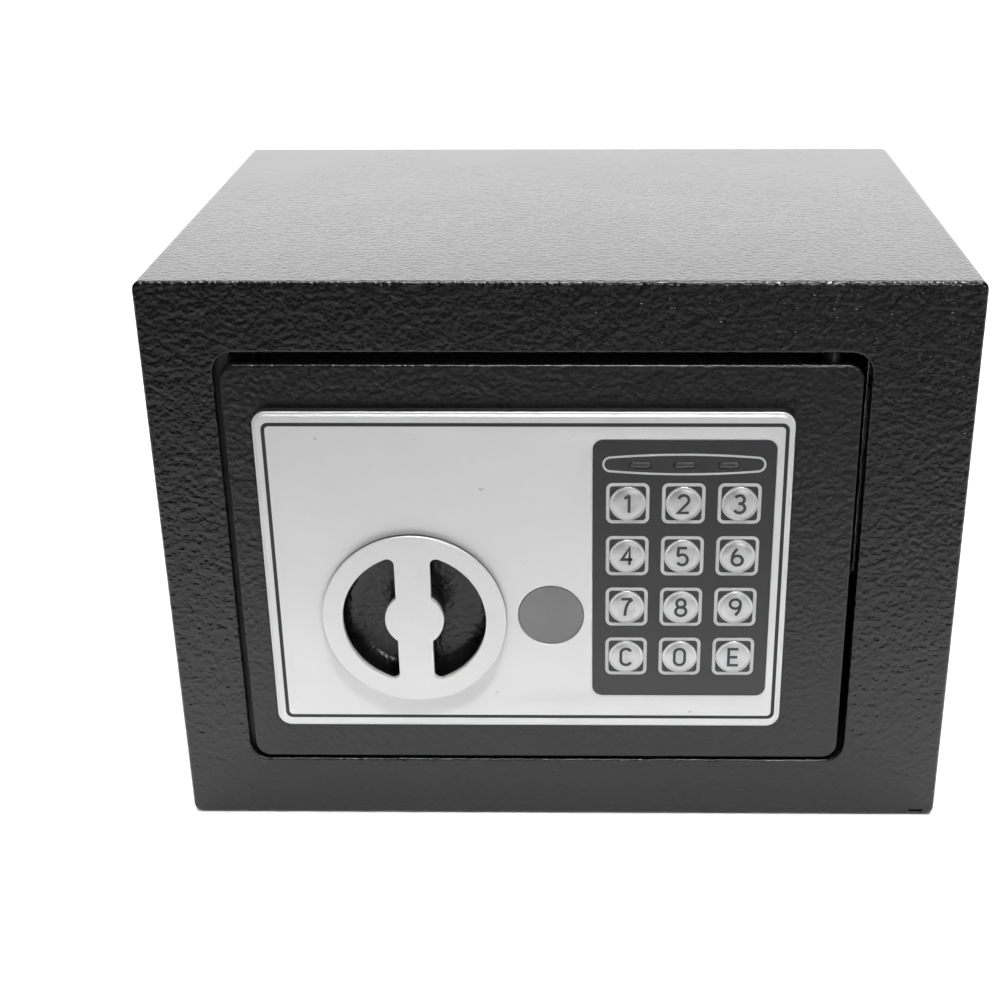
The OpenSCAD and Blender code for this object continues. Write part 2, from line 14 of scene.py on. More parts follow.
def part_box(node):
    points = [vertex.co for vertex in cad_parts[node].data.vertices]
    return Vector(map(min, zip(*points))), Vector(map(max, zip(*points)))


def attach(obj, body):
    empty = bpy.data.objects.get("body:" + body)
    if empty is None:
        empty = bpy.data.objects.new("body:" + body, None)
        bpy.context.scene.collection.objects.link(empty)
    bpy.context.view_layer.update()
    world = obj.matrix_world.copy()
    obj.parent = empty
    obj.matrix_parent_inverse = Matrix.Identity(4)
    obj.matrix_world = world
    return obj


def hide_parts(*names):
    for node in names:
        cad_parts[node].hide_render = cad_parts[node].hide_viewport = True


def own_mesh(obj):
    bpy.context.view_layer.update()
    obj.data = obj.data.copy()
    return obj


bl_info = {
    "name": "Small electronic safe",
    "version": (1, 0, 0),
    "blender": (4, 5, 0),
    "location": "3D View > Sidebar > Safe",
    "description": "Builds the finished surfaces of a small electronic safe",
    "category": "Object",
}

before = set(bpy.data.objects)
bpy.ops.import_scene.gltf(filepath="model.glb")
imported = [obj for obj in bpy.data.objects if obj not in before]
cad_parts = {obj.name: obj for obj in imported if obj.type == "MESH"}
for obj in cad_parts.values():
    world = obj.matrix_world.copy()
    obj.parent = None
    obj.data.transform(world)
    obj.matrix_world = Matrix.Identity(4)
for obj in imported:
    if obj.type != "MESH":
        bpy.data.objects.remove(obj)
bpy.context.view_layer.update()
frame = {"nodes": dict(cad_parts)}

MM = 0.001
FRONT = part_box("front_frame")[0].y / MM
FULL_TURN = 2 * math.pi
QUARTER_TURN = math.pi / 2


# ---------- settings ----------
def length(name, description, millimetres):
    """A length setting, shown in Blender's length unit."""
    return bpy.props.FloatProperty(
        name=name, description=description, default=millimetres * MM,
        min=0.0, soft_max=1.0, precision=5, subtype="DISTANCE", unit="LENGTH",
    )


def colour(name, description, rgb):
    """A colour setting."""
    return bpy.props.FloatVectorProperty(
        name=name, description=description, default=rgb, size=3,
        min=0.0, max=1.0, subtype="COLOR",
    )


def factor(name, description, value, top=1.0):
    """A plain number setting."""
    return bpy.props.FloatProperty(
        name=name, description=description, default=value, min=0.0, max=top,
        subtype="FACTOR",
    )


class CaseSettings(bpy.types.PropertyGroup):
    """Sizes and finishes of the case and its mat"""

    edge_radius: length("Front edge radius", "Rounding of the front edges", 1.1)
    bend_radius: length("Bend radius", "Outside bend of the long edges", 2.6)
    sheet: length("Sheet", "Thickness of the wrap", 1.5)
    frame: length("Frame", "Thickness of the front plate", 2.0)
    opening_radius: length("Opening corner", "Corner radius of the opening", 6.0)
    paint: colour("Paint", "Black powder coat", (0.0028, 0.0028, 0.0029))
    ripple: length("Ripple", "Width of the ripples in the powder coat", 1.9)
    felt: colour("Felt", "Felt of the floor mat", (0.035, 0.037, 0.042))


class DoorSettings(bpy.types.PropertyGroup):
    """Sizes and finishes of the door, fascia, knob and key cover"""

    corner: length("Door corner", "Corner radius of the door", 4.5)
    edge_radius: length("Door edge", "Rounding of the door's front edge", 0.7)
    silver: colour("Silver", "Painted plastic of the fascia", (0.635, 0.635, 0.635))
    line: colour("Pin line", "Paint in the pin line", (0.018, 0.018, 0.019))
    knob_silver: colour("Knob", "Painted plastic of the knob", (0.62, 0.62, 0.62))
    cover_grey: colour("Key cover", "Plastic of the key cover", (0.15, 0.15, 0.152))


class KeypadSettings(bpy.types.PropertyGroup):
    """Finishes of the keypad and the size of its legends"""

    film: colour("Film", "Dark film of the keypad", (0.022, 0.022, 0.0235))
    print_silver: colour("Print", "Silver print on the film", (0.43, 0.43, 0.43))
    cap: colour("Key", "Metallic key caps", (0.52, 0.52, 0.52))
    legend: colour("Legend", "Raised legends on the keys", (0.035, 0.035, 0.038))
    legend_height: length("Legend height", "Height of a legend", 5.3)
    legend_width: length("Legend width", "Width of a legend", 3.0)
    stroke: length("Stroke", "Width of a legend's stroke", 0.84)


class StageSettings(bpy.types.PropertyGroup):
    """The floor's colour and the strength of each light"""

    floor: colour("Floor", "Pale floor", (0.92, 0.92, 0.92))
    sky: factor("Surround", "Brightness of the whole surround", 0.06, 10.0)
    backdrop: factor("Backdrop", "Brightness of the plain backdrop itself", 1.0, 10.0)
    back_wall: factor("Back wall", "Extra brightness low behind the safe", 2.0, 10.0)
    dark_card: factor("Dark card", "How dark the studio is behind the camera", 0.85)
    overhead: factor("Overhead", "Power of the overhead softbox in watts", 22.0, 200.0)
    far_floor: factor("Far floor", "Power of the far floor's softbox", 84.0, 200.0)
    key: factor("Key", "Power of the front softbox in watts", 0.43, 200.0)
    wash: factor("Floor wash", "Power of the light on the floor in front", 0.55, 200.0)


# Where each group of settings hangs on the scene.
GROUPS = {
    "safe_case": CaseSettings,
    "safe_door": DoorSettings,
    "safe_keypad": KeypadSettings,
    "safe_stage": StageSettings,
}


# ---------- shader nodes ----------
# A Mix node has sockets for every data type; these are its colour ones.
MIX_COLOUR_A, MIX_COLOUR_B, MIX_COLOUR_OUT = 6, 7, 2


class Wire:
    """A socket that turns Python arithmetic into Math nodes."""

    def __init__(self, paint, socket):
        self.paint, self.socket = paint, socket

    def _math(self, operation, *values):
        return self.paint.node("ShaderNodeMath", {"operation": operation}, values)

    def __add__(self, other):
        return self._math("ADD", self, other)

    def __radd__(self, other):
        return self._math("ADD", other, self)

    def __sub__(self, other):
        return self._math("SUBTRACT", self, other)

    def __rsub__(self, other):
        return self._math("SUBTRACT", other, self)

    def __mul__(self, other):
        return self._math("MULTIPLY", self, other)

    def __rmul__(self, other):
        return self._math("MULTIPLY", other, self)

    def __truediv__(self, other):
        return self._math("DIVIDE", self, other)

    def __pow__(self, other):
        return self._math("POWER", self, other)

    def clamp(self, low, high):
        """The value mapped smoothly from low..high to 0..1 and held there."""
        return self.paint.node(
            "ShaderNodeMapRange",
            {"clamp": True, "interpolation_type": "SMOOTHSTEP"},
            {"Value": self, "From Min": low, "From Max": high}, "Result")

    def squared(self):
        """The value times itself."""
        return self * self

    def sine(self):
        """The sine of the value in radians."""
        return self._math("SINE", self)

    def magnitude(self):
        """The value without its sign."""
        return self._math("ABSOLUTE", self)


class Nodes:
    """A node tree under construction."""

    def __init__(self, tree):
        self.tree = tree

    def put(self, socket, value):
        """Links a wire to a socket, or sets the socket's own value."""
        if isinstance(value, Wire):
            self.tree.links.new(value.socket, socket)
            return
        if socket.type == "RGBA" and len(value) == 3:
            value = (*value, 1.0)
        socket.default_value = value

    def node(self, kind, settings=None, inputs=None, output=0):
        """Adds any node: its settings first, then its sockets by name or order."""
        made = self.tree.nodes.new(kind)
        for key, value in (settings or {}).items():
            setattr(made, key, value)
        pairs = inputs.items() if isinstance(inputs, dict) else enumerate(inputs or ())
        for key, value in pairs:
            self.put(made.inputs[key], value)
        return Wire(self, made.outputs[output])

    def mix(self, share, a, b):
        """Colour a turning into colour b."""
        return self.node("ShaderNodeMix", {"data_type": "RGBA"},
                         {"Factor": share, MIX_COLOUR_A: a, MIX_COLOUR_B: b},
                         MIX_COLOUR_OUT)

    def part(self, axis, where):
        """One component of a vector."""
        return self.node("ShaderNodeSeparateXYZ", None, (where,), axis)


class Paint(Nodes):
    """One material under construction."""

    def __init__(self, name, **fixed):
        self.material = bpy.data.materials.new(name)
        self.material.use_nodes = True
        super().__init__(self.material.node_tree)
        self.shader = self.tree.nodes["Principled BSDF"]
        for socket, value in fixed.items():
            self.put(self.shader.inputs[socket.replace("_", " ")], value)

    def place(self):
        """Object coordinates in metres."""
        return self.node("ShaderNodeTexCoord", output="Object")

    def scaled(self, x, y, z):
        """Object coordinates stretched along each axis."""
        return self.node("ShaderNodeVectorMath", {"operation": "MULTIPLY"},
                         (self.place(), (x, y, z)))

    def along(self, axis):
        """One of the object coordinates."""
        return self.part(axis, self.place())

    def noise(self, size, detail=2.0, rough=0.5, where=None, distortion=0.0):
        """Cloudy noise whose lumps are about size metres across."""
        return self.node(
            "ShaderNodeTexNoise", None,
            {"Vector": where or self.place(), "Scale": 1.0 / size, "Detail": detail,
             "Roughness": rough, "Distortion": distortion})

    def cells(self, size):
        """Round cells about size metres across."""
        return self.node("ShaderNodeTexVoronoi", {"feature": "F1"},
                         {"Vector": self.place(), "Scale": 1.0 / size})

    def bump(self, height, depth, strength=1.0, under=None):
        """Feeds a height through a Bump node, over an earlier one if given."""
        inputs = {"Height": height, "Distance": depth, "Strength": strength}
        if under is not None:
            inputs["Normal"] = under
        return self.node("ShaderNodeBump", None, inputs)

    def set(self, **wires):
        """Sets sockets of the shader and returns the material."""
        for socket, value in wires.items():
            self.put(self.shader.inputs[socket.replace("_", " ")], value)
        return self.material


def shade(rgb, times, plus=0.0):
    """A colour made lighter or darker, held at white."""
    return tuple(min(1.0, value * times + plus) for value in rgb)


def worn(paint, base, dusty, share=0.25):
    """A base colour clouded towards a second one."""
    cloud = paint.noise(0.02, 4.0, 0.6).clamp(0.35, 0.8)
    return paint.mix(cloud * share, base, dusty)


BRIGHT_STEEL = (0.68, 0.68, 0.69)
POWDER_DUST = (0.016, 0.016, 0.016)
SILVER_SPECK = (0.2, 0.2, 0.2)
FELT_LINT = (0.22, 0.22, 0.23)


def powder_coat(name, base, ripple, depth, rough):
    """Black powder coat with the hammered ripple of a cheap thick coat."""
    paint = Paint(name, Specular_IOR_Level=0.5)
    warp = paint.noise(ripple * 2.4, 0.0)
    lumps = paint.noise(ripple * 0.85, 1.0, 0.4)
    grains = paint.cells(ripple * 0.85)
    patches = paint.noise(0.035, 2.0).clamp(0.25, 0.75)
    small = paint.noise(ripple * 0.5, 0.0)
    height = lumps * 1.3 + small * 0.28 + (1 - grains) * 0.12 + warp * 0.35
    fine = paint.noise(ripple * 0.3, 1.0)
    first = paint.bump(height, depth, 1.0)
    bumped = paint.bump(fine, depth * 0.08, 0.6, first)
    tone = paint.mix(lumps.clamp(0.35, 0.7), base, shade(base, 1.35))
    return paint.set(Base_Color=worn(paint, tone, POWDER_DUST, 0.12),
                     Roughness=rough + 0.015 * patches, Normal=bumped)


def silver_plastic(name, base, rough=0.34):
    """Plastic with sprayed silver paint: tiny flakes and faint clouding."""
    paint = Paint(name, Metallic=0.35, Specular_IOR_Level=0.5)
    flake = paint.cells(0.00022)
    cloud = paint.noise(0.018, 3.0, 0.55).clamp(0.3, 0.75)
    spray = paint.noise(0.0005, 2.0)
    speck = paint.noise(0.0021, 0.0).clamp(0.885, 0.892)
    light = paint.mix(cloud * 0.5, base, shade(base, 0.955))
    dotted = paint.mix(flake * 0.18, light, shade(base, 0.86))
    return paint.set(
        Base_Color=paint.mix(speck * 0.35, dotted, SILVER_SPECK),
        Roughness=rough + 0.08 * cloud, Normal=paint.bump(spray, 0.00002, 0.7))


def flat_ink(name, base, rough=0.5):
    """Ink or paint in a thin, slightly uneven layer."""
    paint = Paint(name, Specular_IOR_Level=0.4)
    cloud = paint.noise(0.0012, 3.0).clamp(0.3, 0.8)
    return paint.set(Base_Color=paint.mix(cloud * 0.3, base, shade(base, 1.25)),
                     Roughness=rough + 0.08 * cloud,
                     Normal=paint.bump(paint.noise(0.0004), 0.00001, 0.5))


def film_sheet(name, base):
    """Dark printed film with a fine matt grain."""
    paint = Paint(name, Specular_IOR_Level=0.5)
    grain = paint.noise(0.00018, 3.0, 0.6)
    cloud = paint.noise(0.03, 2.0).clamp(0.3, 0.7)
    return paint.set(Base_Color=paint.mix(grain * 0.25, base, shade(base, 1.2)),
                     Roughness=0.28 + 0.06 * cloud,
                     Normal=paint.bump(grain, 0.00001, 0.5))


def spun_metal(name, base, centres):
    """Key caps with rings turned round each cap's middle, and a painted highlight
    towards each cap's left and right.

    centres gives the keys' pitch in x and z, and the middle of one of them.
    """
    paint = Paint(name, Metallic=0.75)
    pitch_x, pitch_z, middle_x, middle_z = centres

    def from_middle(axis, pitch, centre):
        """Millimetres from the nearest key's middle along one axis."""
        wrapped = paint.node("ShaderNodeMath", {"operation": "WRAP"},
                             (paint.along(axis) - centre, pitch / 2, -pitch / 2))
        return wrapped * (1 / MM)

    dx = from_middle("X", pitch_x, middle_x)
    dz = from_middle("Z", pitch_z, middle_z)
    radius = (dx.squared() + dz.squared()) ** 0.5
    rings = (radius * 22).sine()
    # Painted highlight: the colour gets lighter towards each cap's left and right
    # sides, standing in for the reflection on turned metal.
    painted_side_highlight = (dx / (radius + 0.01)).magnitude() ** 3
    tone = paint.mix(painted_side_highlight * 0.6, base, shade(base, 1.25))
    ringed = paint.mix((rings * 0.5 + 0.5) * 0.4, tone, shade(base, 0.62))
    return paint.set(Base_Color=ringed, Roughness=0.36 + 0.06 * rings,
                     Normal=paint.bump(rings, 0.000012, 0.7))


def sheet_metal(name, base, rough=0.36, grain=(1.0, 1.0, 0.06)):
    """Rolled or plated steel with drawn grain and dull patches."""
    paint = Paint(name, Metallic=1.0)
    streak = paint.noise(0.0006, 2.0, 0.6, paint.scaled(*grain))
    patch = paint.noise(0.012, 3.0, 0.6).clamp(0.35, 0.7)
    return paint.set(
        Base_Color=paint.mix(patch * 0.5, base, shade(base, 0.72)),
        Roughness=rough + 0.14 * patch, Normal=paint.bump(streak, 0.00002, 0.6))


def moulded(name, base, rough=0.45, grain=0.0006, depth=0.00004):
    """Moulded plastic with a fine spark-eroded grain."""
    paint = Paint(name)
    spark = paint.noise(grain, 3.0, 0.6)
    patch = paint.noise(0.015, 2.0).clamp(0.3, 0.7)
    return paint.set(Base_Color=worn(paint, base, shade(base, 1.4, 0.01)),
                     Roughness=rough + 0.1 * patch,
                     Normal=paint.bump(spark, depth, 0.6))


def felt_cloth(name, base):
    """Pressed needle felt: matted fibres, lint and soft sheen."""
    paint = Paint(name, Roughness=0.95, Sheen_Weight=0.35, Sheen_Roughness=0.5)
    fibre = paint.noise(0.0006, 4.0, 0.7, paint.scaled(1.0, 0.35, 1.0), 1.5)
    cross = paint.noise(0.0007, 4.0, 0.7, paint.scaled(0.35, 1.0, 1.0), 1.5)
    clump = paint.noise(0.006, 3.0, 0.6).clamp(0.3, 0.75)
    lint = paint.noise(0.0016, 1.0).clamp(0.72, 0.78)
    tone = paint.mix(fibre * 0.6, base, shade(base, 2.0))
    tone = paint.mix(clump * 0.3, tone, shade(base, 0.6))
    return paint.set(Base_Color=paint.mix(lint * 0.5, tone, FELT_LINT),
                     Normal=paint.bump(fibre + cross, 0.00035, 0.8))


def circuit_board(name):
    """Green solder mask with copper tracks showing through."""
    paint = Paint(name, Roughness=0.35, Coat_Weight=0.3)
    upright = paint.node("ShaderNodeVectorRotate", {"rotation_type": "X_AXIS"},
                         {"Vector": paint.place(), "Angle": QUARTER_TURN})
    mask, copper = (0.012, 0.085, 0.03), (0.05, 0.2, 0.07)
    black, white = (0.0, 0.0, 0.0), (1.0, 1.0, 1.0)
    tracks = paint.node(
        "ShaderNodeTexBrick", {"offset": 0.35},
        {"Vector": upright, "Scale": 260.0, "Mortar Size": 0.06,
         "Color1": black, "Color2": black, "Mortar": white}, "Fac")
    cloud = paint.noise(0.01).clamp(0.4, 0.6)
    return paint.set(Base_Color=paint.mix(tracks * (0.3 + 0.4 * cloud), mask, copper),
                     Normal=paint.bump(tracks, 0.00004, 0.5))


def wound_tape(name):
    """Amber tape wound round the solenoid coil."""
    paint = Paint(name, Roughness=0.3, Coat_Weight=0.4)
    turns = (paint.along("Z") * 4200).sine()
    cloud = paint.noise(0.004).clamp(0.3, 0.7)
    amber, brown = (0.34, 0.12, 0.02), (0.16, 0.045, 0.01)
    return paint.set(Base_Color=paint.mix(cloud * 0.5 + turns * 0.2, amber, brown),
                     Normal=paint.bump(turns, 0.00005, 0.6))


def printed_cell(name):
    """Battery wrap: black sleeve with a copper-coloured band, no print."""
    paint = Paint(name, Roughness=0.28, Metallic=0.4, Coat_Weight=0.5)
    along = paint.along("X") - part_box("batteries")[0].x
    band = along.clamp(0.034, 0.0345)
    cloud = paint.noise(0.003).clamp(0.3, 0.7)
    black, copper = (0.015, 0.015, 0.016), (0.55, 0.24, 0.07)
    return paint.set(Base_Color=paint.mix(band, black, copper),
                     Normal=paint.bump(cloud, 0.00003, 0.3))


def ribbon_wires(name):
    """Grey ribbon cable with parallel wires."""
    paint = Paint(name, Roughness=0.5)
    waves = (paint.along("X") * 4947).sine()
    dark, light = (0.30, 0.30, 0.31), (0.42, 0.42, 0.43)
    return paint.set(Base_Color=paint.mix(waves * 0.5 + 0.5, dark, light),
                     Normal=paint.bump(waves, 0.0002, 0.8))


# ---------- outlines, in millimetres ----------
# Narrow flat strips beside a rounded edge, which keep its shading crisp.
EDGE_HOLD = 0.12
EDGE_GAP = 0.1


def rounded_box(width, height, radius, cx=0.0, cz=0.0, steps=10):
    """Outline of a rounded rectangle, as x and z points, anticlockwise."""
    radius = max(radius, 0.01)
    points = []
    for quarter, (sx, sz) in enumerate(((1, 1), (-1, 1), (-1, -1), (1, -1))):
        mx, mz = cx + sx * (width / 2 - radius), cz + sz * (height / 2 - radius)
        for step in range(steps + 1):
            angle = (quarter + step / steps) * QUARTER_TURN
            points.append((mx + radius * math.cos(angle),
                           mz + radius * math.sin(angle)))
    return points


def ring(radius, cx=0.0, cz=0.0, steps=96):
    """Outline of a circle."""
    return [(cx + radius * math.cos(FULL_TURN * k / steps),
             cz + radius * math.sin(FULL_TURN * k / steps)) for k in range(steps)]


def pill(width, height, cx, cz, steps=14):
    """Outline of a bar with round ends."""
    return rounded_box(width, height, height / 2 - 0.001, cx, cz, steps)


def arc(cx, cz, rx, rz, start, end, steps=14):
    """Points along an elliptical arc between two angles in degrees."""
    return [(cx + rx * math.cos(math.radians(start + (end - start) * k / steps)),
             cz + rz * math.sin(math.radians(start + (end - start) * k / steps)))
            for k in range(steps + 1)]


def moved(points, dx, dz):
    """Points shifted in x and z."""
    return [(x + dx, z + dz) for x, z in points]


def grown(points, amount):
    """A closed anticlockwise outline pushed outwards by amount."""
    if abs(amount) < 1e-9:
        return list(points)
    result, count = [], len(points)
    for k, (x, z) in enumerate(points):
        ax, az = points[k - 1]
        bx, bz = points[(k + 1) % count]
        inward, outward = Vector((x - ax, z - az)), Vector((bx - x, bz - z))
        a = Vector((inward.y, -inward.x)).normalized()
        b = Vector((outward.y, -outward.x)).normalized()
        middle = (a + b).normalized()
        reach = amount / max(middle.dot(a), 0.5)
        result.append((x + middle.x * reach, z + middle.y * reach))
    return result


def quarter_round(width, depth, steps):
    """A quarter round as (inset, fall) pairs, from the face round to the side."""
    angles = [k / steps * QUARTER_TURN for k in range(steps + 1)]
    return [(width * (1 - math.sin(a)), depth * (1 - math.cos(a))) for a in angles]


def rounding(radius, depth, steps=5, hold=EDGE_HOLD, sign=1):
    """Edge profile as (inset, depth) pairs: flat, then a quarter round."""
    turn = [(inset, depth + sign * fall)
            for inset, fall in quarter_round(radius, radius, steps)]
    return [(radius + hold, depth)] + turn


def edge_profile(front, back, front_radius, back_radius=0.0, steps=5):
    """Profile of a plate's edge from its front face round to its back face."""
    profile = rounding(front_radius, front, steps)
    profile.append((0.0, front + front_radius + EDGE_GAP))
    if back_radius:
        tail = rounding(back_radius, back, max(2, steps - 2), sign=-1)
        profile += [(0.0, back - back_radius - EDGE_GAP)] + tail[::-1]
    else:
        profile += [(0.0, back - EDGE_GAP), (0.0, back), (EDGE_HOLD, back)]
    return profile


# ---------- meshes ----------
SHARP_EDGE = math.radians(32)
WELD_DISTANCE = 1e-5


def crease(mesh):
    """Smooth shading, broken at sharp edges."""
    for edge in mesh.edges:
        edge.smooth = (len(edge.link_faces) == 2
                       and edge.calc_face_angle(0.0) < SHARP_EDGE)
    for face in mesh.faces:
        face.smooth = True


def neighbours(row):
    """Each item with the next one, going all the way round."""
    return zip(row, row[1:] + row[:1])


class Shell:
    """A closed mesh made of outlines stacked in depth, walls and caps."""

    def __init__(self):
        self.mesh = bmesh.new()

    def loop(self, points, depth):
        """One row of vertices; depth is a number or a function of x and z."""
        make = self.mesh.verts.new
        at = depth if callable(depth) else (lambda x, z: depth)
        return [make((x, at(x, z), z)) for x, z in points]

    def wall(self, a, b, material=0):
        """Faces between two rows of the same count."""
        for (a0, a1), (b0, b1) in zip(neighbours(a), neighbours(b)):
            self.mesh.faces.new((a0, a1, b1, b0)).material_index = material

    def sweep(self, outline, profile, inward=1):
        """Walls along a profile; inward is 1 for an outside edge, -1 for a hole."""
        rows = [self.loop(grown(outline, -inward * inset), depth)
                for inset, depth in profile]
        for a, b in zip(rows, rows[1:]):
            self.wall(a, b)
        return rows[0], rows[-1]

    def cap(self, *rows):
        """A flat face bounded by rows: the first outside, the rest its holes."""
        known = self.mesh.edges
        edges = [known.get(pair) or known.new(pair)
                 for row in rows for pair in neighbours(row)]
        bmesh.ops.triangle_fill(self.mesh, use_beauty=True, edges=edges)

    def plate(self, outline, profile, holes=(), hole_profile=None):
        """A whole plate with holes, closed front and back."""
        first, last = self.sweep(outline, profile)
        inner = [self.sweep(hole, hole_profile or profile, -1) for hole in holes]
        self.cap(first, *[pair[0] for pair in inner])
        self.cap(last, *[pair[1] for pair in inner])

    def turned(self, profile, cx, cz, steps=96):
        """A body of revolution about the depth axis from (radius, depth) pairs."""
        rows = []
        for radius, depth in profile:
            if radius <= 1e-6:
                rows.append([self.mesh.verts.new((cx, depth, cz))])
            else:
                rows.append(self.loop(ring(radius, cx, cz, steps), depth))
        for a, b in zip(rows, rows[1:]):
            if len(a) == 1 or len(b) == 1:
                tip, rim = (a, b) if len(a) == 1 else (b, a)
                for pair in neighbours(rim):
                    self.mesh.faces.new((tip[0], *pair))
            else:
                self.wall(a, b)
        return rows[0], rows[-1]

    def ribbon(self, points, width, low, high, closed):
        """A raised stroke of even width along points, in the second material."""
        count = len(points)
        left, right = [], []
        for k, (x, z) in enumerate(points):
            before = points[k - 1] if k or closed else None
            after = points[(k + 1) % count] if k < count - 1 or closed else None
            a = Vector((x, z)) - Vector(before) if before else None
            b = Vector(after) - Vector((x, z)) if after else None
            a, b = (a or b).normalized(), (b or a).normalized()
            side = Vector((-(a.y + b.y), a.x + b.x)).normalized()
            reach = width / 2 / max(side.dot(Vector((-a.y, a.x))), 0.5)
            left.append((x + side.x * reach, z + side.y * reach))
            right.append((x - side.x * reach, z - side.y * reach))
        rows = [self.loop(left, high), self.loop(right, high),
                self.loop(right, low), self.loop(left, low)]
        last = count if closed else count - 1
        for k in range(last):
            n = (k + 1) % count
            for a, b in neighbours(rows):
                self.mesh.faces.new((a[k], a[n], b[n], b[k])).material_index = 1
        if not closed:
            for k in (0, count - 1):
                self.mesh.faces.new([row[k] for row in rows]).material_index = 1

    def paint_side_shade_behind(self, depth, material):
        """Gives the faces deeper than depth a dark material, which paints shade on the
        sides behind the front.
        """
        for face in self.mesh.faces:
            if min(vert.co.y for vert in face.verts) > depth:
                face.material_index = material

    def object(self, name, *materials):
        """Turns the mesh into a named object in metres."""
        mesh = self.mesh
        bmesh.ops.remove_doubles(mesh, verts=mesh.verts, dist=WELD_DISTANCE)
        bmesh.ops.recalc_face_normals(mesh, faces=mesh.faces)
        for vert in mesh.verts:
            vert.co = (vert.co.x * MM, (vert.co.y + FRONT) * MM, vert.co.z * MM)
        crease(mesh)
        data = bpy.data.meshes.new(name)
        mesh.to_mesh(data)
        mesh.free()
        for material in materials:
            data.materials.append(material)
        thing = bpy.data.objects.new(name, data)
        bpy.context.scene.collection.objects.link(thing)
        return thing


def settle(thing, body, slot, *nodes):
    """Rides a piece on its body and hides the CAD nodes it stands for."""
    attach(thing, body)
    if nodes:
        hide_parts(*nodes)
    return thing


def span(node):
    """A CAD node's box in the builders' millimetres: x, depth and z ranges."""
    low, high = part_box(node)
    return ((low.x / MM, high.x / MM), (low.y / MM - FRONT, high.y / MM - FRONT),
            (low.z / MM, high.z / MM))


def middle(node):
    """Middle of a CAD node as x and z, and its width and height."""
    (x0, x1), _, (z0, z1) = span(node)
    return (x0 + x1) / 2, (z0 + z1) / 2, x1 - x0, z1 - z0


def carve(thing, cutters):
    """Cuts closed shells out of a piece and keeps the result as its mesh."""
    for cutter in cutters:
        tool = cutter.object("cutter")
        modifier = thing.modifiers.new("cut", "BOOLEAN")
        modifier.operation, modifier.solver = "DIFFERENCE", "EXACT"
        modifier.object = tool
        depsgraph = bpy.context.evaluated_depsgraph_get()
        data = bpy.data.meshes.new_from_object(thing.evaluated_get(depsgraph))
        thing.modifiers.clear()
        mesh = bmesh.new()
        mesh.from_mesh(data)
        crease(mesh)
        mesh.to_mesh(data)
        mesh.free()
        thing.data = data
        bpy.data.objects.remove(tool)


# ---------- measures shared by several pieces ----------
CASE_X, CASE_Y, CASE_Z = span("body_wrap")
CASE_W, CASE_H, CASE_D = CASE_X[1] - CASE_X[0], CASE_Z[1], CASE_Y[1]
DOOR = middle("door_panel")
FASCIA = middle("fascia")
FASCIA_Y = span("fascia")[1]
OVER = middle("keypad_overlay")
KNOB = middle("knob")
KNOB_Y = span("knob")[1]
COVER = middle("key_cover")
# Middle in x and z, width and height.
OPENING = (-4.8, 83.9, 179.4, 128.6)
PIN_LINE = (-9.55, 83.05, 143.7, 92.1)
# The dish pressed into the door behind the knob.
DISH_R = 21.5
DISH_DEPTH = 3.0
DISH_BACK = 5.5
DOOR_THICK = 3.0
KEY_NAMES = ("1", "2", "3", "4", "5", "6", "7", "8", "9", "c", "0", "e")
KEY_R = middle("key_5")[2] / 2
KEY_GAP = 0.1
STEM_R = 3.2
LIGHT_Z = middle("indicator_lights")[1]
LIGHT_SIZE = (6.0, 2.0)
LIGHT_GAP = 0.1
LIGHT_PITCH = (middle("indicator_lights")[2] - LIGHT_SIZE[0]) / 2
BARREL_R = 6.5
SHAFT_R = 4.06
ANCHORS = (-50.0, 50.0)
ANCHOR_R = 5.0
BACK_ANCHOR_Z = 104.0
# The slot near the front's lower right corner: its width, height and middle.
RELIEF_SIZE = (4.6, 0.8)
RELIEF_SPOT = (CASE_W / 2 - 5.6, 1.75)


def light_spots():
    """Middles of the three lights."""
    return [(OVER[0] + k * LIGHT_PITCH, LIGHT_Z) for k in (-1, 0, 1)]


def light_outlines(gap=0.0, steps=14):
    """Outlines of the three lights, or of their slots with a gap."""
    width, height = LIGHT_SIZE
    return [pill(width + gap, height + gap, x, z, steps) for x, z in light_spots()]


def section(inset, radius, steps):
    """The case's outline seen from the front, drawn in all round by inset."""
    return rounded_box(CASE_W - 2 * inset, CASE_H - 2 * inset, radius,
                       0, CASE_H / 2, steps)


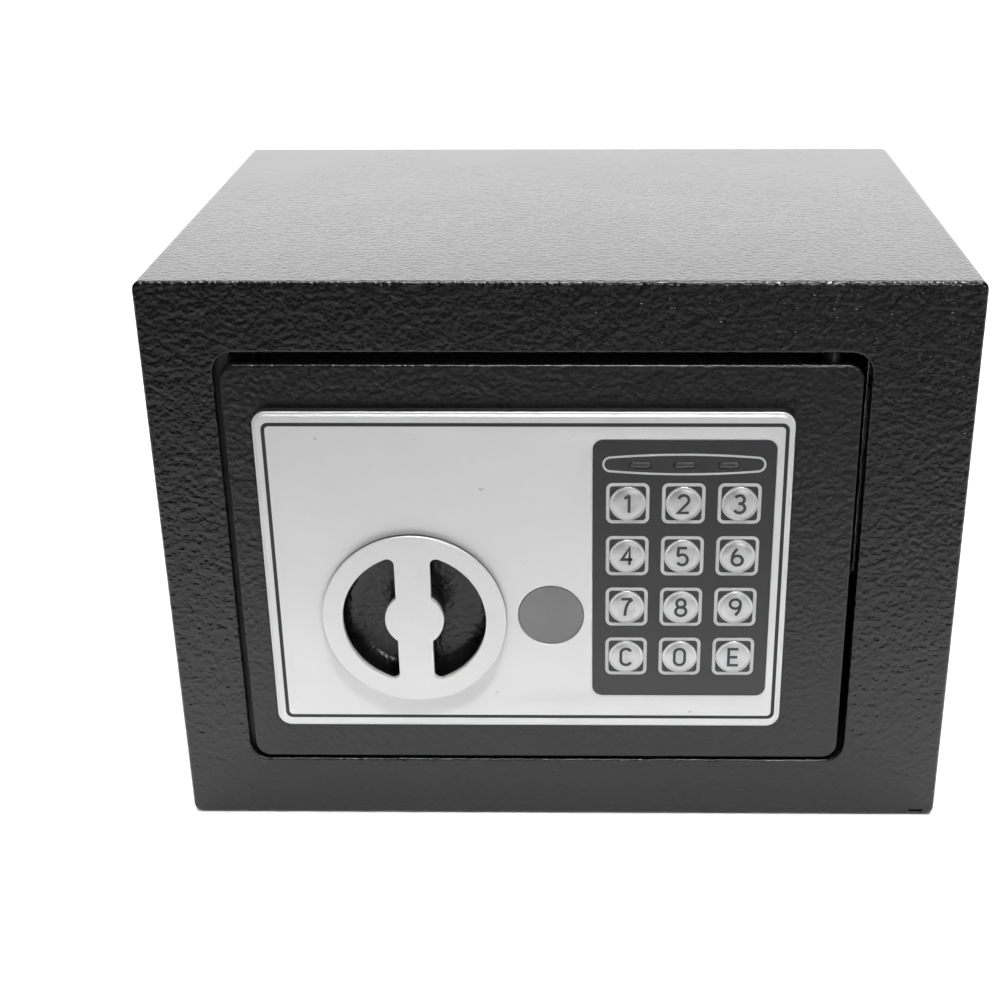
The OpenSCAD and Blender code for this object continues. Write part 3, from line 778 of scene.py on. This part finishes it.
# ---------- operators ----------
class SAFE_OT_case(bpy.types.Operator):
    """Build the painted case, its back plate and the felt mat"""

    bl_idname = "safe.case"
    bl_label = "Case"

    def execute(self, context):
        s = context.scene.safe_case
        paint = powder_coat("case_paint", s.paint, s.ripple, 0.00034, 0.26)
        self.shell(s, paint)
        self.back(s, paint)
        self.mat(s)
        return {"FINISHED"}

    def shell(self, s, paint):
        """The bent wrap and the front plate, welded into one shell."""
        sheet, plate = s.sheet / MM, s.frame / MM
        bend, edge = s.bend_radius / MM, s.edge_radius / MM
        heel, mouth_edge = 0.5, 0.7
        inner = section(sheet, bend - sheet, 8)
        x, z, w, h = OPENING
        opening = rounded_box(w, h, s.opening_radius / MM, x, z, 14)
        body = Shell()
        profile = rounding(edge, 0.0, 6, 0.3)
        profile += [(0.0, edge + 0.3), (0.0, CASE_D - heel),
                    (0.3 * heel, CASE_D - 0.3 * heel), (heel, CASE_D)]
        front, back = body.sweep(section(0.0, bend, 8), profile)
        mouth, throat = body.sweep(
            opening, rounding(mouth_edge, 0.0, 5, 0.2)
            + [(0.0, mouth_edge + EDGE_GAP), (0.0, plate)], -1)
        body.cap(front, mouth)
        rim = body.loop(grown(inner, 0.15), CASE_D)
        lip = body.loop(inner, CASE_D - 0.2)
        seat = body.loop(inner, plate)
        body.wall(back, rim)
        body.wall(rim, lip)
        body.wall(lip, seat)
        body.cap(seat, throat)
        shell = body.object("case_shell", paint)
        carve(shell, [self.drill(hole) for hole in ANCHORS] + [self.relief()])
        settle(shell, "case", "case_paint", "body_wrap", "front_frame")

    def drill(self, x):
        """An upright cylinder that cuts an anchor hole through the floor."""
        cutter = Shell()
        made = bmesh.ops.create_cone(
            cutter.mesh, cap_ends=True, segments=48, radius1=ANCHOR_R,
            radius2=ANCHOR_R, depth=8)
        bmesh.ops.translate(cutter.mesh, verts=made["verts"],
                            vec=(x, CASE_D / 2, 0.0))
        return cutter

    def relief(self):
        """A cutter for the slot near the front's lower right corner."""
        cutter = Shell()
        cutter.plate(pill(*RELIEF_SIZE, *RELIEF_SPOT), [(0.0, -1.0), (0.0, 0.9)])
        return cutter

    def back(self, s, paint):
        """The back plate with its two anchor holes."""
        sheet, bend = s.sheet / MM, s.bend_radius / MM
        front, back = span("back_panel")[1]
        back -= 0.05
        holes = [ring(ANCHOR_R, hole, BACK_ANCHOR_Z, 48) for hole in ANCHORS]
        plate = Shell()
        plate.plate(section(sheet + 0.05, bend - sheet, 6),
                    edge_profile(front, back, 0.2, 0.5, 4),
                    holes, edge_profile(front, back, 0.2, 0.35, 4))
        settle(plate.object("back_plate", paint), "case", "case_paint", "back_panel")

    def mat(self, s):
        """The felt mat: slightly wavy, with a fuzzy cut edge."""
        (x0, x1), (y0, y1), (z0, z1) = span("floor_mat")
        corner, wave, fuzz, fuzz_width, face = 2.0, 0.12, 0.15, 0.6, 0.5
        felt = felt_cloth("felt", s.felt)
        mat = Shell()
        outline = rounded_box(x1 - x0, y1 - y0, corner, (x0 + x1) / 2,
                              (y0 + y1) / 2, 6)
        holes = [ring(ANCHOR_R + 1, hole, CASE_D / 2, 40) for hole in ANCHORS]
        profile = edge_profile(-(z1 - z0), 0.0, 0.7, 0.25, 4)
        mat.plate(outline, profile, holes)
        for vert in mat.mesh.verts:
            across, along, up = vert.co.x, vert.co.z, -vert.co.y
            edge = min(x1 - across, across - x0, y1 - along, along - y0)
            lift = wave * math.sin(across * 0.11) * math.sin(along * 0.13)
            fray = fuzz * math.sin(across * 2.1 + along * 1.7)
            vert.co = (across + (fray * 0.5 if edge < fuzz_width else 0.0), along,
                       z0 + up + (lift if up > face else 0.0))
        thing = mat.object("felt_mat", felt)
        settle(thing, "case", "felt", "floor_mat")


class SAFE_OT_door(bpy.types.Operator):
    """Build the painted door leaf with its pressed dish"""

    bl_idname = "safe.door"
    bl_label = "Door leaf"

    def execute(self, context):
        case, s = context.scene.safe_case, context.scene.safe_door
        paint = powder_coat("door_paint", case.paint, case.ripple, 0.00024, 0.28)
        x, z, w, h = DOOR
        leaf = Shell()
        outline = rounded_box(w, h, s.corner / MM, x, z, 12)
        first, last = leaf.sweep(
            outline, edge_profile(0.0, DOOR_THICK, s.edge_radius / MM, 0.3, 5))
        cut_edge = edge_profile(0.0, DOOR_THICK, 0.2, 0.2, 3)
        keypad_cutout = rounded_box(48, 80, 2, OVER[0], OVER[1], 4)
        keypad = leaf.sweep(keypad_cutout, cut_edge, -1)
        lock = leaf.sweep(ring(BARREL_R, COVER[0], COVER[1], 64), cut_edge, -1)
        outside = DISH_R + 2.0
        dish = leaf.turned(
            [(DISH_R + 0.12, 0.0), (DISH_R, 0.0), (DISH_R, DISH_DEPTH - 0.1),
             (DISH_R - 0.1, DISH_DEPTH), (SHAFT_R + 0.2, DISH_DEPTH),
             (SHAFT_R, DISH_DEPTH + 0.2), (SHAFT_R, DISH_BACK),
             (SHAFT_R + 0.2, DISH_BACK), (outside - 0.4, DISH_BACK),
             (outside, DISH_BACK - 0.4), (outside, DOOR_THICK),
             (outside + 0.2, DOOR_THICK)], KNOB[0], KNOB[1])
        leaf.cap(first, keypad[0], lock[0], dish[0])
        leaf.cap(last, keypad[1], lock[1], dish[1])
        settle(leaf.object("door_leaf", paint), "door", "door_paint", "door_panel")
        self.bowl(case)
        return {"FINISHED"}

    def bowl(self, case):
        """The glossy bowl seen through the knob's finger apertures."""
        # The bowl's paint is the case paint darkened to 0.8: painted shade in the
        # recess behind the knob.
        paint = powder_coat("bowl_paint", shade(case.paint, 0.8),
                            case.ripple * 1.15, 0.0002, 0.27)
        bowl = Shell()
        top, floor = FASCIA_Y[0] + 0.15, DISH_DEPTH - 0.02
        radius, wall, fillet, hub_hole = DISH_R - 0.03, 0.35, 4.2, 9.3
        under = floor + 0.015
        profile = [(radius - 0.05, top), (radius - 0.3, top),
                   (radius - wall, top + 0.1)]
        profile += [(radius - wall - inset, floor - fall)
                    for inset, fall in reversed(quarter_round(fillet, fillet, 10))]
        profile += [(hub_hole + 0.1, floor - 0.01), (hub_hole, floor),
                    (hub_hole, under), (radius - 0.2, under), (radius, floor - 0.2),
                    (radius, top + 0.05), (radius - 0.05, top)]
        bowl.turned(profile, KNOB[0], KNOB[1])
        settle(bowl.object("knob_bowl", paint), "door", "door_paint")


class SAFE_OT_fascia(bpy.types.Operator):
    """Build the silver fascia with its pin line, and the key cover"""

    bl_idname = "safe.fascia"
    bl_label = "Fascia"

    def execute(self, context):
        s = context.scene.safe_door
        silver = silver_plastic("fascia_silver", s.silver)
        line = flat_ink("pin_line_paint", s.line, 0.55)
        x, z, w, h = FASCIA
        front, back = FASCIA_Y
        fascia = Shell()
        outline = rounded_box(w, h, 4.0, x, z, 10)
        step, bend, chamfer = 0.8, 0.35, 0.08
        turn = quarter_round(bend, bend, 4)
        side = front + step + bend
        edge = [(step + bend + EDGE_HOLD, front)]
        edge += [(step + inset, front + fall) for inset, fall in turn]
        edge += [(step, front + step - chamfer), (step - chamfer, front + step)]
        edge += [(inset, front + step + fall) for inset, fall in turn]
        edge += [(0.0, side + EDGE_GAP), (0.0, back), (EDGE_HOLD, back)]
        rim, heel = fascia.sweep(outline, edge)
        outer_top, inner_top = self.pin_line(fascia, front)
        fascia.cap(rim, outer_top)
        lip = edge_profile(front, back, 0.25, 0, 3)
        lock_r = COVER[2] / 2 + KEY_GAP
        knob_hole = fascia.sweep(ring(DISH_R, KNOB[0], KNOB[1]), lip, -1)
        lock_hole = fascia.sweep(ring(lock_r, COVER[0], COVER[1], 72), lip, -1)
        pocket = rounded_box(OVER[2] + 0.1, OVER[3] + 0.1, 3.0, OVER[0], OVER[1], 8)
        pocket_floor, cap_seat = front + 0.4, front + 0.9
        pocket_top, pocket_low = fascia.sweep(
            pocket, [(0.25, front), (0.1, front + 0.05), (0.0, front + 0.15),
                     (0.0, pocket_floor)], -1)
        tops, lows = [], []
        well, stem = KEY_R + KEY_GAP, STEM_R + KEY_GAP
        for name in KEY_NAMES:
            first, last = fascia.turned(
                [(well, pocket_floor), (well, cap_seat), (stem, cap_seat),
                 (stem, back)], *middle(f"key_{name}")[:2], steps=48)
            tops.append(first)
            lows.append(last)
        for slot in light_outlines(LIGHT_GAP, 8):
            first, last = fascia.sweep(slot, [(0.0, pocket_floor), (0.0, back)], -1)
            tops.append(first)
            lows.append(last)
        fascia.cap(inner_top, knob_hole[0], lock_hole[0], pocket_top)
        fascia.cap(pocket_low, *tops)
        fascia.cap(heel, knob_hole[1], lock_hole[1], *lows)
        # The sides behind the front step get dark plastic: partly the bare base
        # plastic, partly painted shade on the top and sides.
        fascia.paint_side_shade_behind(side - 0.01, 2)
        dark = moulded("fascia_base_and_side_shade", (0.012, 0.012, 0.013), 0.5)
        settle(fascia.object("fascia_front", silver, line, dark), "door",
               "silver_plastic", "fascia")
        self.cover(s)
        return {"FINISHED"}

    def pin_line(self, fascia, front):
        """The painted groove round the fascia; returns its two top rows."""
        deep, wide = 0.09, 1.05
        x, z, w, h = PIN_LINE
        outer = rounded_box(w + wide, h + wide, 2.0, x, z, 6)
        inner = rounded_box(w - wide, h - wide, 1.2, x, z, 6)
        rows = [fascia.loop(outer, front), fascia.loop(outer, front + deep),
                fascia.loop(inner, front + deep), fascia.loop(inner, front)]
        for a, b in zip(rows, rows[1:]):
            fascia.wall(a, b, 1)
        return rows[0], rows[-1]

    def cover(self, s):
        """The grey disc over the lock, with a faint crown and a soft rim."""
        grey = moulded("key_cover_plastic", s.cover_grey, 0.5, 0.0004, 0.00003)
        radius, crown, chamfer = COVER[2] / 2, 0.06, 0.2
        front, back = span("key_cover")[1]
        profile = [(0.0, front)]
        profile += [(radius * share, front + crown * share ** 4)
                    for share in (0.3, 0.6, 0.8, 0.9)]
        profile += [(radius - inset, front + crown + fall)
                    for inset, fall in quarter_round(0.35, 0.3, 4)]
        profile += [(radius, back - chamfer), (radius - chamfer, back), (0.0, back)]
        cover = Shell()
        cover.turned(profile, COVER[0], COVER[1])
        settle(cover.object("lock_cover_disc", grey), "key_cover", "cover_plastic",
               "key_cover")


class SAFE_OT_knob(bpy.types.Operator):
    """Build the turning knob with its two finger apertures"""

    bl_idname = "safe.knob"
    bl_label = "Knob"

    def execute(self, context):
        s = context.scene.safe_door
        silver = silver_plastic("knob_silver", s.knob_silver, 0.3)
        front, tail = KNOB_Y
        back = FASCIA_Y[0] - 0.3
        hub, chamfer, edge = 8.3, 0.3, 0.4
        knob = Shell()
        outline = ring(KNOB[2] / 2, KNOB[0], KNOB[1], 160)
        outer = knob.sweep(outline, edge_profile(front, back, edge, 0.3, 4))
        inner_edge = edge_profile(front, back, 0.3, 0.2, 4)
        holes = [knob.sweep(self.aperture(side), inner_edge, -1) for side in (-1, 1)]
        knob.cap(outer[0], holes[0][0], holes[1][0])
        post = knob.turned(
            [(hub, back), (hub, tail - chamfer), (hub - chamfer, tail),
             (SHAFT_R, tail), (SHAFT_R, tail - 0.01)], KNOB[0], KNOB[1])
        knob.cap(outer[1], holes[0][1], holes[1][1], post[0])
        knob.cap(post[1])
        # The knob's side wall behind its rounded front edge gets dark plastic: painted
        # shade that stands in for the dark gap round the rim.
        dark = moulded("knob_side_shade_plastic", (0.014, 0.014, 0.015), 0.35)
        knob.paint_side_shade_behind(front + edge + 0.05, 1)
        settle(knob.object("turn_knob", silver, dark), "knob_set", "knob_plastic",
               "knob")
        return {"FINISHED"}

    def aperture(self, side):
        """D-shaped finger aperture beside the bar, bitten by the hub."""
        half_bar, reach, hub, corner = 5.1, 20.6, 8.5, 1.8
        corner_z = math.sqrt((reach - corner) ** 2 - (half_bar + corner) ** 2)
        lean = math.degrees(math.atan2(corner_z, half_bar + corner))
        bite = math.degrees(math.acos(half_bar / hub))
        bite_z = math.sqrt(hub ** 2 - half_bar ** 2)
        turn_x, straight = half_bar + corner, corner_z - bite_z
        points = arc(0, 0, hub, hub, bite, -bite, 20)[:-1]
        points += [(half_bar, -bite_z - straight * k / 6) for k in range(6)]
        points += arc(turn_x, -corner_z, corner, corner, 180, 360 - lean, 8)[:-1]
        points += arc(0, 0, reach, reach, -lean, lean, 48)[:-1]
        points += arc(turn_x, corner_z, corner, corner, lean, 180, 8)[:-1]
        points += [(half_bar, corner_z - straight * k / 6) for k in range(6)]
        if side < 0:
            points = [(-x, z) for x, z in reversed(points)]
        return moved(points, KNOB[0], KNOB[1])


class SAFE_OT_keypad(bpy.types.Operator):
    """Build the film, its silver print, the lights and the twelve keys"""

    bl_idname = "safe.keypad"
    bl_label = "Keypad"

    def execute(self, context):
        s = context.scene.safe_keypad
        front, back = span("keypad_overlay")[1]
        dark = film_sheet("keypad_film", s.film)
        silver = flat_ink("silver_print", s.print_silver, 0.38)
        film = Shell()
        outline = rounded_box(OVER[2], OVER[3], 2.9, OVER[0], OVER[1], 8)
        keys = [middle(f"key_{name}") for name in KEY_NAMES]
        holes = [ring(KEY_R + KEY_GAP, x, z, 64) for x, z, _, _ in keys]
        holes += light_outlines(LIGHT_GAP)
        film.plate(outline, edge_profile(front, back, 0.08, 0, 3), holes,
                   edge_profile(front, back, 0.05, 0, 2))
        low, high = front + 0.01, front - 0.035
        frame_side, frame_stroke, window_stroke = 12.05, 0.95, 0.6
        side = frame_side - frame_stroke
        for x, z, _, _ in keys:
            film.ribbon(rounded_box(side, side + 0.15, 1.4, x, z, 7), frame_stroke,
                        low, high, True)
        film.ribbon(self.window(), window_stroke, low, high, True)
        settle(film.object("keypad_film", dark, silver), "door", "overlay_film",
               "keypad_overlay")
        self.lights()
        self.keys(s, keys)
        return {"FINISHED"}

    def window(self):
        """Closed outline round the lights: bowed long sides, round ends."""
        x0, x1, z0, z1 = 12.0, 56.6, 114.7, 120.5
        end = 2.05
        mid_x, mid_z = (x0 + x1) / 2, (z0 + z1) / 2
        half_w, half_h, steps = (x1 - x0) / 2 - end, (z1 - z0) / 2, 16
        shares = [1 - k / steps for k in range(steps + 1)]
        top = [(mid_x + half_w * share, mid_z + half_h - (half_h - end) * share ** 2)
               for share in shares]
        top += [(2 * mid_x - x, z) for x, z in reversed(top[:-1])]
        left = arc(mid_x - half_w, mid_z, end, end, 90, 270, 12)[1:-1]
        low = [(2 * mid_x - x, 2 * mid_z - z) for x, z in top]
        right = arc(mid_x + half_w, mid_z, end, end, -90, 90, 12)[1:-1]
        return top + left + low + right

    def lights(self):
        """Three smoky pill lenses with softly crowned faces."""
        lens = Paint("smoky_lens", Coat_Weight=0.1, Specular_IOR_Level=0.5)
        glow = lens.noise(0.003).clamp(0.3, 0.7)
        dark, pale = (0.026, 0.026, 0.027), (0.038, 0.038, 0.039)
        smoke = lens.set(Base_Color=lens.mix(glow, dark, pale),
                         Roughness=0.34 + 0.08 * glow)
        front, back = span("indicator_lights")[1]
        profile = [(0.75, front + 0.02), (0.55, front + 0.05), (0.3, front + 0.14),
                   (0.1, front + 0.3), (0.0, front + 0.5), (0.0, back)]
        lamps = Shell()
        for outline in light_outlines():
            first, last = lamps.sweep(outline, profile)
            lamps.cap(first)
            lamps.cap(last)
        settle(lamps.object("light_lenses", smoke), "door", "indicator_lens",
               "indicator_lights")

    def keys(self, s, spots):
        """The twelve caps with a fine turned ring and a raised legend."""
        first, last = middle("key_1"), middle("key_5")
        pitch_x, pitch_z = abs(last[0] - first[0]), abs(last[1] - first[1])
        metal = spun_metal("spun_key", s.cap,
                           (pitch_x * MM, pitch_z * MM, last[0] * MM, last[1] * MM))
        ink = flat_ink("legend_ink", s.legend, 0.5)
        glyphs = legends(s.legend_width / MM, s.legend_height / MM)
        legend_rise, chamfer = 0.14, 0.2
        for name, (x, z, _, _) in zip(KEY_NAMES, spots):
            front, back = span(f"key_{name}")[1]
            face, cap_back = front + legend_rise, front + 1.0
            groove = face + 0.06
            key = Shell()
            profile = [(0.0, face), (2.2, face), (4.22, face), (4.32, groove),
                       (4.42, groove), (4.52, face), (KEY_R - chamfer, face)]
            profile += [(KEY_R - inset, face + fall)
                        for inset, fall in quarter_round(0.18, 0.18, 4)]
            profile += [(KEY_R, cap_back), (STEM_R, cap_back),
                        (STEM_R, back - chamfer), (STEM_R - chamfer, back),
                        (0.0, back)]
            key.turned(profile, x, z, steps=64)
            for layer, stroke in enumerate(glyphs[name]):
                closed = stroke[0] == stroke[-1]
                points = moved(stroke[:-1] if closed else stroke, x, z)
                # Each stroke stands a touch higher, so that crossings stay clean.
                key.ribbon(points, s.stroke / MM, face + 0.02,
                           face - 0.06 - 0.012 * layer, closed)
            thing = key.object(f"key_cap_{name}", metal, ink)
            settle(thing, f"key_{name}", "key_plastic", f"key_{name}")


def legends(width, height):
    """Strokes of the plain numerals and of C and E, about each key's middle."""
    w, h = width / 2, height / 2
    bowl = w * 0.98
    low, top = -h + bowl, h - bowl
    nine = [arc(0, low, w, bowl, 0, 360, 30),
            [(-w, low)] + arc(w * 0.55, low, w * 1.55, h - low, 175, 112, 10)]
    six = [nine[0], nine[1]]
    return {
        "0": [arc(0, top, w, bowl, 0, 180) + arc(0, low, w, bowl, 180, 360)
              + [(w, top)]],
        "1": [[(w * 0.25, -h), (w * 0.25, h)],
              [(w * 0.25, h * 0.97), (-w * 0.6, h * 0.6)]],
        "2": [arc(0, top, w * 0.95, bowl, 165, -35, 14) + [(-w, -h), (w, -h)]],
        "3": [arc(0, h * 0.52, w * 0.85, h * 0.48, 155, -90, 14),
              arc(0, -h * 0.46, w, h * 0.54, 90, -155, 14),
              [(-w * 0.25, h * 0.06), (w * 0.15, h * 0.06)]],
        "4": [[(w * 0.45, -h), (w * 0.45, h), (-w, -h * 0.36), (w, -h * 0.36)]],
        "5": [[(w * 0.85, h), (-w * 0.7, h), (-w * 0.85, h * 0.02)],
              [(-w * 0.85, h * 0.02)] + arc(0, -h * 0.38, w, h * 0.62, 130, -150, 16)],
        "6": six,
        "7": [[(-w, h), (w, h)],
              [(w, h)] + arc(w * 1.2, -h, w * 1.5, h * 1.9, 100, 180, 8)],
        "8": [arc(0, h * 0.5, w * 0.82, h * 0.5, 0, 360, 24),
              arc(0, -h * 0.47, w, h * 0.53, 0, 360, 24)],
        "9": [[(-x, -z) for x, z in stroke] for stroke in six],
        "c": [arc(0, top, w, bowl, 25, 180) + arc(0, low, w, bowl, 180, 335)],
        "e": [[(w, h), (-w * 0.85, h), (-w * 0.85, -h), (w, -h)],
              [(-w * 0.85, 0), (w * 0.85, 0)]],
    }


class SAFE_OT_spring(bpy.types.Operator):
    """Build the return spring's coil, fixed at its rest length"""

    bl_idname = "safe.spring"
    bl_label = "Return spring"

    def execute(self, context):
        (x0, x1), (y0, y1), (z0, z1) = span("plunger_spring")
        wire, turns, per_turn, sides, lift = 0.4, 4, 28, 10, 4.0
        cx, cy, reach = (x0 + x1) / 2, (y0 + y1) / 2, (x1 - x0) / 2 - wire
        coil = Shell()
        rows = []
        for k in range(turns * per_turn + 1):
            share, turn = k / (turns * per_turn), FULL_TURN * k / per_turn
            climb = share - 0.5 * math.sin(FULL_TURN * share) / FULL_TURN
            height = z0 + wire + (z1 - z0 - 2 * wire) * climb
            row = []
            for side in range(sides):
                angle = FULL_TURN * side / sides
                out = reach + wire * math.cos(angle)
                row.append(coil.mesh.verts.new((cx + out * math.cos(turn),
                                                cy + out * math.sin(turn),
                                                height + wire * math.sin(angle))))
            rows.append(row)
        for a, b in zip(rows, rows[1:]):
            coil.wall(a, b)
        coil.mesh.faces.new(rows[0])
        coil.mesh.faces.new(rows[-1])
        spring = coil.object("return_spring",
                             sheet_metal("spring_wire", BRIGHT_STEEL, 0.22))
        settle(spring, "plunger_set", "bright_steel", "plunger_spring")
        cx * MM
        (cy + FRONT) * MM
        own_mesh(spring)
        return {"FINISHED"}


class SAFE_OT_hardware(bpy.types.Operator):
    """Soften the edges of the carried-over parts and give them their finishes"""

    bl_idname = "safe.hardware"
    bl_label = "Hardware and electronics"

    def execute(self, context):
        s = context.scene.safe_case
        black = powder_coat("bracket_paint", s.paint, s.ripple, 0.0001, 0.4)
        zinc = sheet_metal("zinc_plate", (0.56, 0.56, 0.58))
        bright = sheet_metal("bright_steel", BRIGHT_STEEL, 0.2)
        brass = sheet_metal("brass", (0.62, 0.45, 0.18), 0.28)
        cover = moulded("cover_plastic", (0.012, 0.012, 0.013), 0.42)
        box = moulded("box_plastic", (0.016, 0.016, 0.017), 0.38)
        red = moulded("reset_plastic", (0.42, 0.02, 0.015), 0.35)
        board = circuit_board("circuit_board")
        finishes = {
            black: ("strike_plate", "hinge_brackets", "hinge_knuckles", "bolt_guide",
                    "hinge_rod", "rod_clips"),
            zinc: ("fascia_screws", "post_clips", "solenoid_frame", "lock_nut",
                   "drive_cam", "cam_screw", "bolt_carrier", "bolt_rivets", "lift_arm",
                   "lock_cam", "cover_screws"),
            bright: ("dome_contacts", "guide_posts", "standoffs",
                     "battery_contacts", "knob_spindle", "locking_bolts",
                     "solenoid_plunger"),
            brass: ("lock_barrel", "lock_plug"),
            cover: ("mechanism_cover",),
            box: ("battery_box", "battery_cover"),
            red: ("reset_button",),
            board: ("keypad_board", "control_board"),
            wound_tape("coil_tape"): ("solenoid_coil",),
            printed_cell("cell_wrap"): ("batteries",),
            ribbon_wires("ribbon_wires"): ("ribbon_cable",),
        }
        for material, nodes in finishes.items():
            for name in nodes:
                self.finish(frame["nodes"][name], material)
        return {"FINISHED"}

    def finish(self, thing, material):
        """One material and softly bevelled edges for a carried-over part."""
        thing.data.materials.clear()
        thing.data.materials.append(material)
        for face in thing.data.polygons:
            face.material_index = 0
        weld = thing.modifiers.new("weld", "WELD")
        weld.merge_threshold = 1e-6
        low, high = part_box(thing.name)
        soften = thing.modifiers.new("soften", "BEVEL")
        soften.width = min(0.0003, min(high - low) * 0.12)
        soften.segments = 2
        soften.limit_method = "ANGLE"
        soften.angle_limit = math.radians(35)
        soften.use_clamp_overlap = True


class SAFE_OT_stage(bpy.types.Operator):
    """Build the pale floor, the studio lights and the camera"""

    bl_idname = "safe.stage"
    bl_label = "Stage"

    def execute(self, context):
        s = context.scene.safe_stage
        self.surround(context.scene, s)
        self.floor(s)
        self.area("overhead", s.overhead, place=(0.1, 0.6, 1.3),
                  aim=(0.1, 0.62, 0.0), size=(3.6, 1.3), spread=66)
        self.area("far_floor", s.far_floor, place=(0.0, 2.8, 1.8),
                  aim=(0.0, 2.7, 0.0), size=(6.4, 3.0), spread=140)
        self.area("front_key", s.key, place=(0.5, -1.5, 0.7),
                  aim=(0.02, -0.09, 0.09), size=(0.7, 0.4), spread=30)
        self.area("floor_wash", s.wash, place=(0.08, -0.34, 0.9),
                  aim=(0.05, -0.11, 0.0), size=(0.7, 0.06), spread=28)
        self.camera(context.scene)
        return {"FINISHED"}

    def surround(self, scene, s):
        """A dim room, lighter low behind the safe, dark behind the camera.

        The camera itself sees a plain white backdrop.
        """
        world = bpy.data.worlds.new("studio_surround")
        world.use_nodes = True
        background = world.node_tree.nodes["Background"]
        sky = Nodes(world.node_tree)
        towards = sky.node("ShaderNodeTexCoord", output="Generated")
        side, back, up = [sky.part(axis, towards) for axis in "XYZ"]
        wall = back.clamp(0.35, 0.8) * (1 - up.clamp(0.45, 0.75)) * s.back_wall
        wall = wall * (1 - side.squared().clamp(0.04, 0.5) * 0.8)
        spread = side - 0.1
        card = (-1.0 * back).clamp(0.35, 0.75) * (1 - up.clamp(0.35, 0.6))
        card = card * (1 - spread.squared().clamp(0.35, 0.7))
        light = (s.sky + wall) * (1 - card * s.dark_card)
        seen = sky.node("ShaderNodeLightPath", output="Is Camera Ray")
        light = light * (1 - seen) + s.backdrop * seen
        sky.put(background.inputs["Strength"], light)
        background.inputs["Color"].default_value = (1.0, 1.0, 1.0, 1.0)
        scene.world = world
        scene.view_settings.view_transform = "Standard"

    def floor(self, s):
        """A matt pale floor that reaches further behind the safe than ahead."""
        paint = Paint("pale_floor", Roughness=0.9, Specular_IOR_Level=0.1)
        cloud = paint.noise(0.4, 2.0).clamp(0.3, 0.7)
        material = paint.set(Base_Color=paint.mix(
            cloud, tuple(s.floor), shade(s.floor, 1.01)))
        left, right, near, far = -3.4, 3.4, -0.8, 4.6
        corners = [(left, near, 0), (right, near, 0), (right, far, 0), (left, far, 0)]
        data = bpy.data.meshes.new("floor")
        data.from_pydata(corners, [], [(0, 1, 2, 3)])
        data.materials.append(material)
        floor = bpy.data.objects.new("floor", data)
        bpy.context.scene.collection.objects.link(floor)

    def area(self, name, power, place, aim, size, spread):
        """A rectangular softbox aimed at a point, spreading by an angle in degrees."""
        lamp = bpy.data.lights.new(name, "AREA")
        lamp.spread = math.radians(spread)
        lamp.shape, lamp.size, lamp.size_y, lamp.energy = "RECTANGLE", *size, power
        thing = bpy.data.objects.new(name, lamp)
        thing.location = place
        towards = Vector(aim) - Vector(place)
        thing.rotation_euler = towards.to_track_quat("-Z", "Y").to_euler()
        bpy.context.scene.collection.objects.link(thing)

    def camera(self, scene):
        """A camera above the front, looking down at the safe."""
        focal, centre_x, centre_y = 1.6608, 0.5730, 0.5800
        x, y, z = 10.11, -429.62, 289.19
        pitch, yaw, roll = 0.4528, -0.0155, -0.0042
        level = math.cos(pitch)
        forward = Vector((math.sin(yaw) * level, math.cos(yaw) * level,
                          -math.sin(pitch)))
        right = Vector((math.cos(yaw), -math.sin(yaw), 0.0))
        up = right.cross(forward)
        tilt_right = math.cos(roll) * right + math.sin(roll) * up
        tilt_up = -math.sin(roll) * right + math.cos(roll) * up
        lens = bpy.data.cameras.new("camera")
        lens.sensor_width = 36.0
        lens.lens = focal * lens.sensor_width
        lens.shift_x = 0.5 - centre_x
        lens.shift_y = centre_y - 0.5
        lens.clip_start = 0.01
        thing = bpy.data.objects.new("camera", lens)
        turn = Matrix((tilt_right, tilt_up, -forward)).transposed().to_4x4()
        thing.matrix_world = Matrix.Translation(
            (x * MM, (y + FRONT) * MM, z * MM)) @ turn
        scene.collection.objects.link(thing)
        scene.camera = thing


class SAFE_PT_panel(bpy.types.Panel):
    """Lists the builders and their settings"""

    bl_idname = "SAFE_PT_panel"
    bl_label = "Small electronic safe"
    bl_space_type = "VIEW_3D"
    bl_region_type = "UI"
    bl_category = "Safe"

    def draw(self, context):
        for operator in OPERATORS:
            self.layout.operator(operator.bl_idname, text=operator.bl_label)
        for attribute, group in GROUPS.items():
            box = self.layout.box()
            for name in group.__annotations__:
                box.prop(getattr(context.scene, attribute), name)


OPERATORS = (SAFE_OT_stage, SAFE_OT_case, SAFE_OT_door, SAFE_OT_fascia, SAFE_OT_knob,
             SAFE_OT_keypad, SAFE_OT_spring, SAFE_OT_hardware)


def register():
    """Registers the settings, the builders and the panel."""
    for group in GROUPS.values():
        bpy.utils.register_class(group)
    for attribute, group in GROUPS.items():
        setattr(bpy.types.Scene, attribute, bpy.props.PointerProperty(type=group))
    for operator in OPERATORS:
        bpy.utils.register_class(operator)
    bpy.utils.register_class(SAFE_PT_panel)


def unregister():
    """Takes away what register() added."""
    bpy.utils.unregister_class(SAFE_PT_panel)
    for operator in reversed(OPERATORS):
        bpy.utils.unregister_class(operator)
    for attribute in GROUPS:
        delattr(bpy.types.Scene, attribute)
    for group in reversed(list(GROUPS.values())):
        bpy.utils.unregister_class(group)


def main():
    """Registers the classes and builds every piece."""
    register()
    for operator in OPERATORS:
        name = operator.bl_idname.split(".")[1]
        if getattr(bpy.ops.safe, name)() != {"FINISHED"}:
            raise RuntimeError(f"{operator.bl_label} did not finish")


if __name__ == "__main__":
    main()
